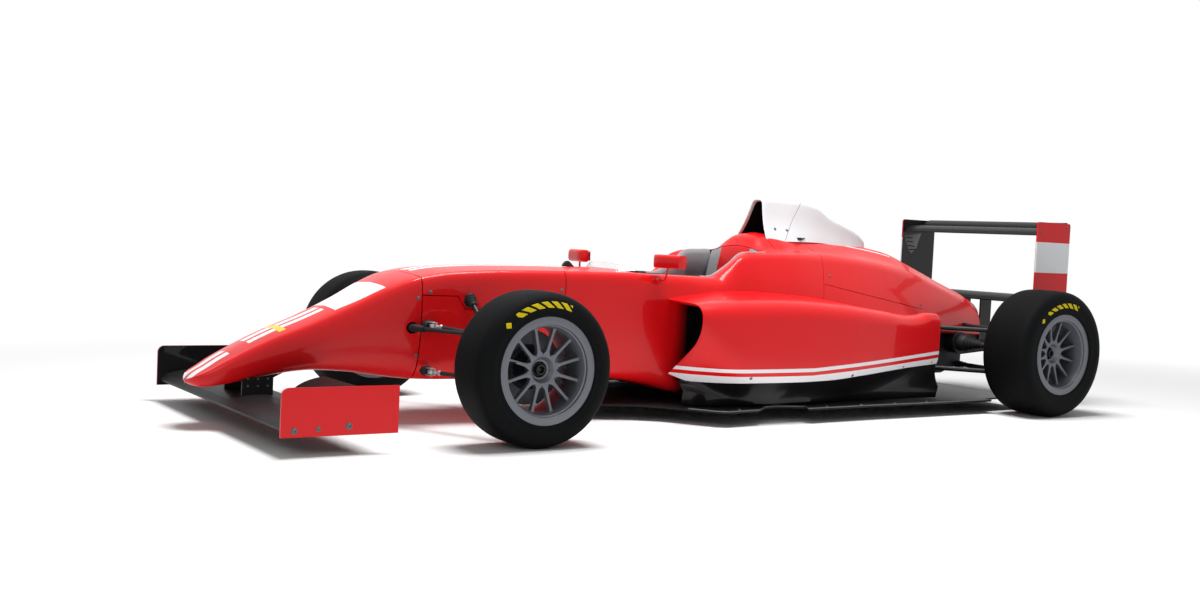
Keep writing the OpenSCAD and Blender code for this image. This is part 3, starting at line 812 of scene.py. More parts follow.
def bolt(at: Vector, out: Vector, radius: float = 0.006) -> Shape:
    """Dome-headed screw with a washer and a hexagon socket.

    Args:
        at: Middle of its seat.
        out: Direction that the head faces.
        radius: Radius of the head.

    Returns:
        The new shape.
    """
    at, out = Vector(at), Vector(out).normalized()
    washer = Shape.bar(at, at + out * 0.0009, radius * 1.35, sides=18)
    head = Shape.lathe([(0, radius), (radius * 0.35, radius * 0.94), (radius * 0.6, radius * 0.66),
                        (radius * 0.62, radius * 0.42), (radius * 0.25, radius * 0.36),
                        (radius * 0.25, 0.0001), (0, 0.0001)], 12)
    turn = out.to_track_quat("Y", "Z").to_matrix().to_4x4()
    head.place(Matrix.Translation(at + out * 0.0008) @ turn)
    return washer.add(head)


def rod_end(at: Vector, along: Vector, radius: float) -> Shape:
    """Spherical bearing with its lock nut at the end of a tube.

    Args:
        at: Centre of the ball.
        along: Direction of the tube from there.
        radius: Radius of the tube.

    Returns:
        The new shape.
    """
    at, along = Vector(at), Vector(along).normalized()
    eye = Shape.lathe([(-0.007, 0.008), (-0.007, 0.015), (0.007, 0.015), (0.007, 0.008)], 24)
    eye.place(Matrix.Translation(at) @ Z_AXIS.to_track_quat("Y", "Z").to_matrix().to_4x4())
    shank = Shape.bar(at + along * 0.013, at + along * 0.045, radius * 0.5, sides=16)
    nut = Shape.bar(at + along * 0.030, at + along * 0.039, radius * 0.95, sides=6, bevel=0.0008)
    return eye.add(shank, nut, Shape.ball(at, 0.0095))


def boot(start: Vector, end: Vector, wide: float, narrow: float, folds: int = 5) -> Shape:
    """Ribbed rubber boot between two points.

    Args:
        start: Wide end.
        end: Narrow end.
        wide: Radius at the start.
        narrow: Radius at the end.
        folds: Number of ribs.

    Returns:
        The new shape.
    """
    start, end = Vector(start), Vector(end)
    length = (end - start).length
    profile = [(0.0, 0.001), (0.0, wide)]
    for i in range(1, 2 * folds):
        share = i / (2 * folds)
        radius = wide + (narrow - wide) * share
        profile.append((length * share, radius * (1.04 if i % 2 else 0.86)))
    profile += [(length, narrow), (length, 0.001)]
    turn = (end - start).to_track_quat("Y", "Z").to_matrix().to_4x4()
    return Shape.lathe(profile, 24).place(Matrix.Translation(start) @ turn)


# ------------------------------------------------------------------------------------------ wheels


@dataclass
class Wheel:
    """A wheel: slick tyre, twelve-spoke rim, brake disc and centre nut, built about the Y axis."""

    name: str
    centre: Vector
    side: int
    radius: float
    width: float
    rim_width: float
    dish: float
    hub_depth: float
    bead: float = 0.165
    lip: float = 0.1825
    ring: float = 0.026
    barrel: float = 0.143
    hub_ring: float = 0.054
    spokes: int = 12

    @property
    def body(self) -> str:
        """CAD body that the wheel's pieces ride on."""
        return f"{self.name}_wheel"

    def placed(self, shape: Shape) -> Shape:
        """Turn a shape from the wheel's own frame to its corner of the car."""
        if self.side < 0:
            shape.place(Matrix.Diagonal((1, -1, 1, 1)))
        return shape.shift(*self.centre)

    def tyre(self) -> None:
        """Slick with round shoulders, a rim protector and a moulded line on each wall."""
        half, seat = self.width / 2, self.rim_width / 2
        wall = [(seat - 0.012, self.bead - 0.002), (seat - 0.0075, self.lip - 0.006),
                (seat + 0.001, self.lip + 0.002), (seat + 0.006, self.lip + 0.007),
                (half - 0.0045, self.lip + 0.014), (half - 0.001, self.radius - 0.056),
                (half - 0.0006, self.radius - 0.050), (half - 0.0022, self.radius - 0.047),
                (half - 0.0020, self.radius - 0.043), (half - 0.0060, self.radius - 0.028),
                (half - 0.0150, self.radius - 0.0135), (half - 0.0310, self.radius - 0.0042),
                (half - 0.0560, self.radius - 0.0010), (0.0, self.radius)]
        path = [tuple(p) for p in rounded(wall, [0.02] * (len(wall) - 2), 3)]
        mirrored = [(-along, radius) for along, radius in reversed(path[:-1])]
        inner = [(-seat + 0.03, self.bead + 0.012), (seat - 0.03, self.bead + 0.012)]
        shape = self.placed(Shape.lathe(path + mirrored + inner, 128))
        rubber = Rubber(f"{self.name}_rubber", rgba(0.0026, 0.0029, 0.0034), rough=0.7, mottle=0.25,
                        grain=0.00012, cells=420, gloss=0.07, axle=tuple(self.centre))
        shape.piece(f"{self.name}_slick", self.body, rubber, [f"{self.name}_tyre"], "tyre", 50)

    def rim(self) -> None:
        """Barrel with flat outer ring and deep dish, and the spokes in front of the brake."""
        half = self.rim_width / 2
        face = half - self.dish
        flat = self.lip - self.ring
        barrel = [(half, self.lip), (half, flat), (half - 0.003, flat - 0.0015), (half - 0.010, flat - 0.002),
                  (half - 0.012, flat - 0.006), (face + 0.006, self.barrel + 0.002), (face, self.barrel),
                  (face - 0.03, self.barrel), (-half + 0.05, self.barrel + 0.004), (-half + 0.012, flat),
                  (-half, flat + 0.004), (-half, self.lip), (-half + 0.006, self.lip),
                  (-half + 0.0085, self.bead), (-half + 0.035, self.bead - 0.003), (face - 0.05, self.barrel + 0.006),
                  (face + 0.01, self.barrel + 0.006), (half - 0.03, self.bead - 0.003),
                  (half - 0.0085, self.bead), (half - 0.006, self.lip)]
        shape = Shape.lathe(barrel, 96).bevelled(0.0011, 2, 40)
        shape.piece_ready = True
        spoke = self.spoke(face)
        hub = self.hub_depth
        ring = [(face - hub, self.hub_ring), (face - hub, 0.0455), (face - hub - 0.002, 0.0435),
                (face - hub - 0.020, 0.034), (face - hub - 0.021, 0.0275), (face - hub - 0.040, 0.0265),
                (face - hub - 0.040, self.hub_ring - 0.004)]
        shape.add(Shape.lathe(ring, 72).bevelled(0.0008, 2, 40))
        for i in range(self.spokes):
            turned = spoke.copy().place(Matrix.Rotation(TAU * (i + 0.5) / self.spokes, 4, "Y"))
            shape.add(turned)
        spoke.bm.free()
        self.placed(shape).piece(f"{self.name}_wheel_rim", self.body, RIM_GREY, [f"{self.name}_rim"], "rim")
        valve = Shape.bar((0.137, half - 0.022, 0.03), (0.128, half + 0.001, 0.03), 0.0032, bevel=0.0005)
        self.placed(valve).piece(f"{self.name}_valve", self.body, SATIN_BLACK)

    def spoke(self, face: float) -> Shape:
        """One spoke along +X, flared into the hub ring and the barrel."""
        hub = self.hub_depth
        half_widths = ((0.0490, 0.0130), (0.0560, 0.0128), (0.0600, 0.0094), (0.0650, 0.0070),
                       (0.0740, 0.0058), (0.0980, 0.0052), (0.1280, 0.0048), (0.1370, 0.0054),
                       (self.barrel + 0.0025, 0.0080))
        outline = [(r, face - hub, w) for r, w in half_widths]
        outline += [(r, face - hub, -w) for r, w in reversed(half_widths)]
        shape = Shape.plate(outline, (0, -0.020, 0))
        for vert in shape.bm.verts:
            reach = (vert.co.x - 0.056) / (self.barrel - 0.056)
            rise = max(0.0, reach) ** 2
            vert.co.y += rise * (hub + 0.002)
        return shape.bevelled(0.0012, 2, 40)

    def brake(self) -> None:
        """Drilled disc on its bell, the hub inside the rim and the centre nut."""
        inner = 0.035 + (0.018 - 0.018) - 0.092 + 0.0
        inner = -0.057 if self.name.startswith("front") else -0.047
        disc = Shape()
        for start in (inner, inner + 0.0105):
            disc.add(Shape.lathe([(start, 0.078), (start, 0.1295), (start + 0.0075, 0.1295),
                                  (start + 0.0075, 0.078)], 72).bevelled(0.0006, 1, 40))
        disc.add(Shape.lathe([(inner + 0.006, 0.080), (inner + 0.006, 0.118), (inner + 0.012, 0.118),
                              (inner + 0.012, 0.080)], 48))
        for i in range(24):
            angle = TAU * i / 24
            for radius, turn in ((0.090, 0.0), (0.104, 0.13), (0.118, 0.26)):
                place = Vector((math.cos(angle + turn) * radius, inner + 0.0181, math.sin(angle + turn) * radius))
                disc.add(Shape.bar(place, place + Y_AXIS * 0.0004, 0.0035, sides=8))
        self.placed(disc).piece(f"{self.name}_disc", self.body, DARK_STEEL, [f"{self.name}_hub"], "brake_steel")
        half = self.rim_width / 2
        back = half - self.dish - self.hub_depth - 0.040
        bell = [(inner + 0.010, 0.080), (inner + 0.014, 0.080), (inner + 0.024, 0.062), (back - 0.012, 0.046),
                (back, 0.046), (back, 0.020), (inner - 0.004, 0.020), (inner - 0.004, 0.040), (inner + 0.010, 0.044)]
        shape = Shape.lathe(bell, 48).bevelled(0.001, 2, 40)
        for i in range(8):
            angle = TAU * i / 8
            at = Vector((math.cos(angle) * 0.072, inner + 0.019, math.sin(angle) * 0.072))
            shape.add(bolt(at, Y_AXIS, 0.0045))
        self.placed(shape).piece(f"{self.name}_bell", self.body, CASTING)
        nut = Shape.bar((0, back - 0.002, 0), (0, back + 0.013, 0), 0.0245, sides=6, bevel=0.0015)
        nut.add(Shape.lathe([(back + 0.013, 0.0195), (back + 0.030, 0.0175), (back + 0.030, 0.0125),
                             (back + 0.014, 0.0115), (back + 0.013, 0.0115)], 32).bevelled(0.0007, 2, 40))
        nut.add(Shape.bar((0, back + 0.013, 0), (0, back + 0.021, 0), 0.0075, sides=16, bevel=0.001))
        self.placed(nut).piece(f"{self.name}_centre_nut", self.body, SATIN_BLACK)
        if self.name.startswith("rear"):
            self.half_shaft()

    def half_shaft(self) -> None:
        """Drive shaft from the gearbox's flange to the hub, with its cup and boots."""
        shaft = Shape.bar((0, -0.425, 0), (0, -0.075, 0), 0.0135)
        shaft.add(Shape.bar((0, -0.472, 0), (0, -0.430, 0), 0.040, bevel=0.004))
        shaft.add(Shape.bar((0, -0.110, 0), (0, -0.050, 0), 0.033, bevel=0.004))
        for i in range(6):
            angle = TAU * i / 6
            spot = Vector((math.cos(angle) * 0.030, -0.430, math.sin(angle) * 0.030))
            shaft.add(bolt(spot, Y_AXIS, 0.004))
        self.placed(shaft).piece(f"{self.name}_half_shaft", self.body, CASTING)
        boots = boot((0, -0.430, 0), (0, -0.350, 0), 0.036, 0.017)
        boots.add(boot((0, -0.110, 0), (0, -0.180, 0), 0.030, 0.017))
        self.placed(boots).piece(f"{self.name}_shaft_boots", self.body, RUBBER_BOOT)

    def build(self) -> None:
        """Make the whole wheel."""
        self.tyre()
        self.rim()
        self.brake()


# -------------------------------------------------------------------------------- front suspension


@dataclass
class FrontCorner:
    """Front suspension of one side: upright, caliper, wishbones, pushrod and track rod."""

    side: int
    axle_x: float = 1.105
    axle_z: float = 0.265
    kingpin_y: float = 0.600
    upper_z: float = 0.345
    lower_z: float = 0.198
    feet_x: tuple[float, float] = (1.268, 0.920)
    foot_y: float = 0.236
    tube: float = 0.0105

    @property
    def name(self) -> str:
        """Side of the car in words."""
        return "left" if self.side > 0 else "right"

    def at(self, x: float, y: float, z: float) -> Vector:
        """Point on this side of the car."""
        return Vector((x, y, z))

    def placed(self, shape: Shape) -> Shape:
        """Mirror a shape that was built on the left to this side."""
        return shape if self.side > 0 else shape.place(Matrix.Diagonal((1, -1, 1, 1)))

    def upright(self) -> None:
        """Cast upright with its kingpin, spindle, steering arm and caliper."""
        x, y, z = self.axle_x, self.kingpin_y, self.axle_z
        post = Shape.plate([(x - 0.020, y - 0.014, self.lower_z + 0.014), (x + 0.020, y - 0.014, self.lower_z + 0.014),
                            (x + 0.030, y - 0.014, z), (x + 0.018, y - 0.014, self.upper_z - 0.014),
                            (x - 0.018, y - 0.014, self.upper_z - 0.014), (x - 0.030, y - 0.014, z)],
                           (0, 0.032, 0), 0.004)
        post.add(Shape.bar((x, y, self.lower_z - 0.024), (x, y, self.upper_z + 0.024), 0.0078, bevel=0.001))
        for level in (self.lower_z - 0.024, self.upper_z + 0.014):
            post.add(Shape.bar((x, y, level), (x, y, level + 0.010), 0.0125, sides=6, bevel=0.001))
        post.add(Shape.lathe([(y + 0.010, 0.047), (y + 0.021, 0.047), (y + 0.021, 0.0165), (y + 0.118, 0.0165),
                              (y + 0.118, 0.001), (y + 0.010, 0.001)], 40).bevelled(0.001, 2, 40).shift(x, 0, z))
        post.add(Shape.plate([(x, y - 0.014, 0.316), (x + 0.060, y - 0.012, 0.316), (x + 0.078, y - 0.005, 0.316),
                              (x + 0.078, y + 0.003, 0.316), (x + 0.055, y + 0.006, 0.316), (x, y + 0.012, 0.316)],
                             (0, 0, 0.010), 0.002))
        post.add(Shape.bar((x + 0.070, y - 0.005, 0.320), (x + 0.070, y - 0.005, 0.376), 0.0048, bevel=0.0008))
        self.placed(post).piece(f"front_{self.name}_casting", f"front_{self.name}_knuckle", CASTING,
                                [f"front_{self.name}_upright"], "cast_alloy")
        self.caliper(x, y + 0.035, z, -1, f"front_{self.name}_caliper", f"front_{self.name}_knuckle")

    def caliper(self, x: float, y: float, z: float, way: int, name: str, body: str) -> None:
        """Four-piston caliper over the disc's edge, with its carrier.

        Args:
            x: Axle's place along the car.
            y: Inboard face of the disc.
            z: Axle's height.
            way: 1 where it sits ahead of the axle, -1 behind it.
            name: Name of the piece.
            body: CAD body that it rides on.
        """
        shape = Shape()
        outline = []
        for turn in range(-26, 27, 4):
            angle = math.radians(turn)
            outline.append((math.cos(angle) * 0.1345, 0, math.sin(angle) * 0.1345))
        inner = [(math.cos(math.radians(t)) * 0.094, 0, math.sin(math.radians(t)) * 0.094) for t in range(22, -23, -4)]
        for start, depth in ((y - 0.026, 0.022), (y + 0.0225, 0.020)):
            cheek = Shape.plate([Vector(p) + Y_AXIS * start for p in outline + inner], (0, depth, 0), 0.003)
            shape.add(cheek)
            for turn in (-13, 13):
                centre = Vector((math.cos(math.radians(turn)) * 0.112, start, math.sin(math.radians(turn)) * 0.112))
                shape.add(Shape.bar(centre - Y_AXIS * 0.003, centre + Y_AXIS * (depth + 0.003), 0.0145, bevel=0.002))
        for turn in (-22, 0, 22):
            centre = Vector((math.cos(math.radians(turn)) * 0.1385, y, math.sin(math.radians(turn)) * 0.1385))
            shape.add(Shape.bar(centre - Y_AXIS * 0.024, centre + Y_AXIS * 0.042, 0.0065, bevel=0.001))
        shape.add(Shape.box((0.020, y - 0.026, -0.011), (0.100, y - 0.014, 0.011), 0.002))
        shape.place(Matrix.Translation((x, 0, z)) @ Matrix.Diagonal((way, 1, 1, 1)))
        self.placed(shape).piece(name, body, CALIPER_GREY)

    def wishbones(self) -> None:
        """Both wishbones with their legs, feet, clevises and boots."""
        legs, feet, boots = Shape(), Shape(), Shape()
        for eye_z, foot_z in ((self.upper_z, 0.372), (self.lower_z, 0.206)):
            eye = self.at(self.axle_x, self.kingpin_y, eye_z)
            legs.add(Shape.lathe([(-0.011, 0.0082), (-0.011, 0.0165), (0.011, 0.0165), (0.011, 0.0082)], 28)
                     .bevelled(0.0008, 2, 40)
                     .place(Matrix.Translation(eye) @ Z_AXIS.to_track_quat("Y", "X").to_matrix().to_4x4()))
            for foot_x in self.feet_x:
                foot = self.at(foot_x, self.foot_y + 0.022, foot_z)
                line = (foot - eye).normalized()
                legs.add(Shape.bar(eye + line * 0.014, foot - line * 0.045, self.tube, flat=0.72, sides=20))
                feet.add(rod_end(foot, -line, self.tube))
                feet.add(Shape.bar(foot - Z_AXIS * 0.015, foot + Z_AXIS * 0.015, 0.005, bevel=0.001))
                for lift in (-0.013, 0.010):
                    feet.add(Shape.box(foot + Vector((-0.011, -0.030, lift)), foot + Vector((0.011, 0.010, lift + 0.003)), 0.001))
                skin_y = 0.214 if foot_x > 1.2 else 0.226
                boots.add(Shape.lathe([(skin_y, 0.001), (skin_y, 0.019), (skin_y + 0.006, 0.018),
                                       (skin_y + 0.016, 0.014), (skin_y + 0.022, 0.011), (skin_y + 0.022, 0.001)], 28)
                          .bevelled(0.001, 2, 40).place(Matrix.Diagonal((1.45, 1, 1, 1))).shift(foot_x, 0, foot_z))
            legs.add(Shape.box(eye + Vector((-0.02, -0.034, -0.004)), eye + Vector((0.02, -0.012, 0.004)), 0.003))
        name = f"front_{self.name}"
        replaces = ["front_wishbones"] if self.side > 0 else []
        self.placed(legs).piece(f"{name}_wishbones", "chassis", SATIN_BLACK, replaces, "black_metal")
        self.placed(feet).piece(f"{name}_rod_ends", "chassis", STEEL)
        self.placed(boots).piece(f"{name}_boots", "chassis", RUBBER_BOOT)

    def pushrod(self) -> None:
        """Pushrod from the lower wishbone up through the hatch's hole."""
        foot = self.at(self.axle_x, self.kingpin_y - 0.042, self.lower_z + 0.006)
        top = self.at(self.axle_x, 0.226, 0.466)
        line = (top - foot).normalized()
        rod = Shape.bar(foot + line * 0.045, top, 0.0088, sides=24)
        rod.add(Shape.box(foot - Vector((0.020, 0.012, 0.010)), foot + Vector((0.020, 0.012, 0.012)), 0.003))
        replaces = ["pushrods"] if self.side > 0 else []
        self.placed(rod).piece(f"front_{self.name}_pushrod", "chassis", SATIN_BLACK, replaces, "black_metal")
        self.placed(rod_end(foot + line * 0.008, line, 0.0088)).piece(f"front_{self.name}_pushrod_end", "chassis", STEEL)
        sleeve = boot(top - line * 0.034, top + line * 0.012, 0.014, 0.022, 4)
        self.placed(sleeve).piece(f"front_{self.name}_pushrod_boot", "chassis", RUBBER_BOOT)

    def track_rod(self) -> None:
        """Track rod between the rack and the steering arm, with its rod ends."""
        eye = self.at(self.axle_x + 0.070, self.kingpin_y - 0.005, 0.360)
        end = self.at(1.322, 0.200, 0.360)
        line = (eye - end).normalized()
        rod = Shape.bar(end + line * 0.03, eye - line * 0.050, 0.0078, sides=20)
        ring = Shape.lathe([(-0.007, 0.0112), (-0.007, 0.0175), (0.007, 0.0175), (0.007, 0.0112)], 24)
        ring.bevelled(0.0008, 2, 40).place(Matrix.Translation(eye) @ Z_AXIS.to_track_quat("Y", "X").to_matrix().to_4x4())
        shank = Shape.bar(eye - line * 0.055, eye - line * 0.016, 0.0052, sides=16)
        nut = Shape.bar(eye - line * 0.056, eye - line * 0.046, 0.0095, sides=6, bevel=0.0008)
        replaces = ["steering_rack"] if self.side > 0 else []
        if self.side > 0:
            rod.add(Shape.bar((1.322, -0.196, 0.36), (1.322, 0.196, 0.36), 0.011))
        self.placed(rod).piece(f"{self.name}_track_rod", "rack", SATIN_BLACK, replaces, "steel")
        self.placed(ring.add(shank, nut)).piece(f"{self.name}_track_rod_end", "rack", STEEL)
        sleeve = boot(self.at(1.322, 0.190, 0.360), end + line * 0.062, 0.0155, 0.0115, 5)
        self.placed(sleeve).piece(f"{self.name}_rack_boot", "rack", RUBBER_BOOT)

    def build(self) -> None:
        """Make the whole corner."""
        self.upright()
        self.wishbones()
        self.pushrod()
        self.track_rod()


CALIPER_GREY = Finish("caliper_grey", rgba(0.16, 0.16, 0.165), rough=0.42, metal=0.5, mottle=0.25, grain=0.0001, cells=300)


# --------------------------------------------------------------------------------------- the stage


@dataclass
class Studio:
    """Pale floor, soft lamps and the camera."""

    eye: tuple[float, float, float] = (3.391, 4.462, 0.7174)
    heading: float = -2.1644
    dip: float = -0.0479
    roll: float = 0.0478
    lens: float = 39.2

    def camera(self) -> None:
        """Camera at three quarters from the front left."""
        forward = Vector((math.cos(self.dip) * math.cos(self.heading),
                          math.cos(self.dip) * math.sin(self.heading), math.sin(self.dip)))
        right = forward.cross(Z_AXIS).normalized()
        above = right.cross(forward)
        side = right * math.cos(self.roll) + above * math.sin(self.roll)
        top = above * math.cos(self.roll) - right * math.sin(self.roll)
        lens = bpy.data.cameras.new("camera")
        lens.lens, lens.sensor_width = self.lens, 36.0
        camera = bpy.data.objects.new("camera", lens)
        camera.matrix_world = Matrix((
            (side.x, top.x, -forward.x, self.eye[0]), (side.y, top.y, -forward.y, self.eye[1]),
            (side.z, top.z, -forward.z, self.eye[2]), (0, 0, 0, 1)))
        bpy.context.scene.collection.objects.link(camera)
        bpy.context.scene.camera = camera

    def lamp(self, name: str, at: Sequence[float], aim: Sequence[float], size: tuple[float, float],
             power: float) -> None:
        """Rectangular lamp.

        Args:
            name: Its name.
            at: Its place.
            aim: Point that it faces.
            size: Its two sides.
            power: Its power in watts.
        """
        light = bpy.data.lights.new(name, "AREA")
        light.shape, light.size, light.size_y, light.energy = "RECTANGLE", size[0], size[1], power
        thing = bpy.data.objects.new(name, light)
        thing.location = at
        thing.rotation_mode = "QUATERNION"
        thing.rotation_quaternion = (Vector(aim) - Vector(at)).to_track_quat("-Z", "Y")
        bpy.context.scene.collection.objects.link(thing)

    def world(self, strength: float) -> None:
        """White background to the camera and to reflections, dim grey light to everything else."""
        world = bpy.data.worlds.new("studio")
        world.use_nodes = True
        tree = world.node_tree
        tree.nodes.clear()
        path = tree.nodes.new("ShaderNodeLightPath")
        seen = tree.nodes.new("ShaderNodeMath")
        seen.operation, seen.use_clamp = "ADD", True
        tree.links.new(path.outputs["Is Camera Ray"], seen.inputs[0])
        both = tree.nodes.new("ShaderNodeMath")
        both.operation, both.use_clamp = "ADD", True
        tree.links.new(path.outputs["Is Glossy Ray"], both.inputs[0])
        tree.links.new(path.outputs["Is Transmission Ray"], both.inputs[1])
        tree.links.new(both.outputs[0], seen.inputs[1])
        level = tree.nodes.new("ShaderNodeMapRange")
        level.inputs["To Min"].default_value, level.inputs["To Max"].default_value = strength, 1.0
        tree.links.new(seen.outputs[0], level.inputs["Value"])
        background = tree.nodes.new("ShaderNodeBackground")
        background.inputs["Color"].default_value = (1, 1, 1, 1)
        tree.links.new(level.outputs[0], background.inputs["Strength"])
        output = tree.nodes.new("ShaderNodeOutputWorld")
        tree.links.new(background.outputs[0], output.inputs[0])
        bpy.context.scene.world = world

    def floor(self) -> None:
        """Wide pale floor under the tyres."""
        shape = Shape()
        bmesh.ops.create_grid(shape.bm, x_segments=8, y_segments=8, size=60)
        mesh = bpy.data.meshes.new("studio_floor")
        shape.bm.to_mesh(mesh)
        shape.bm.free()
        mesh.materials.append(self.floor_material())
        thing = bpy.data.objects.new("studio_floor", mesh)
        bpy.context.scene.collection.objects.link(thing)

    def floor_material(self) -> bpy.types.Material:
        """Pale diffuse floor that runs out into the white background."""
        graph = Graph("studio_floor")
        x, y, _ = graph.axes()
        far = graph.math("SQRT", x * x * 0.35 + y * y)
        fade = graph.math("SMOOTH_MIN", (far - 1.2) / 2.2, 1.0, 0.1, clamp=True)
        path = graph.node("ShaderNodeLightPath", {}, {})
        seen = graph.math("ADD", Num(graph, path.outputs["Is Camera Ray"]), Num(graph, path.outputs["Is Glossy Ray"]),
                          clamp=True)
        colour = graph.mix(graph.noise(0.6, 2.0) * 0.04, rgba(0.97, 0.97, 0.97), rgba(0.93, 0.93, 0.93))
        material = graph.close({"Base Color": colour, "Roughness": 0.9, "Specular IOR Level": 0.0})
        tree = material.node_tree
        output = next(n for n in tree.nodes if n.bl_idname == "ShaderNodeOutputMaterial")
        surface = output.inputs[0].links[0].from_socket
        glow = graph.node("ShaderNodeEmission", {}, {"Color": rgba(1, 1, 1), "Strength": 1.0})
        blend = graph.node("ShaderNodeMixShader", {}, {0: fade * seen})
        tree.links.new(surface, blend.inputs[1])
        tree.links.new(glow.outputs[0], blend.inputs[2])
        tree.links.new(blend.outputs[0], output.inputs[0])
        return material

    def build(self) -> None:
        """Set everything up."""
        self.camera()
        self.world(0.22)
        self.lamp("overhead", (0.3, 0.4, 5.2), (0.1, 0.0, 0.0), (3.0, 1.8), 360)
        self.lamp("front_left", (4.8, 4.2, 3.2), (0.3, 0.0, 0.3), (3.0, 2.0), 35)
        self.floor()
        scene = bpy.context.scene
        scene.view_settings.view_transform = "Standard"


# ----------------------------------------------------------------------------------- centre body


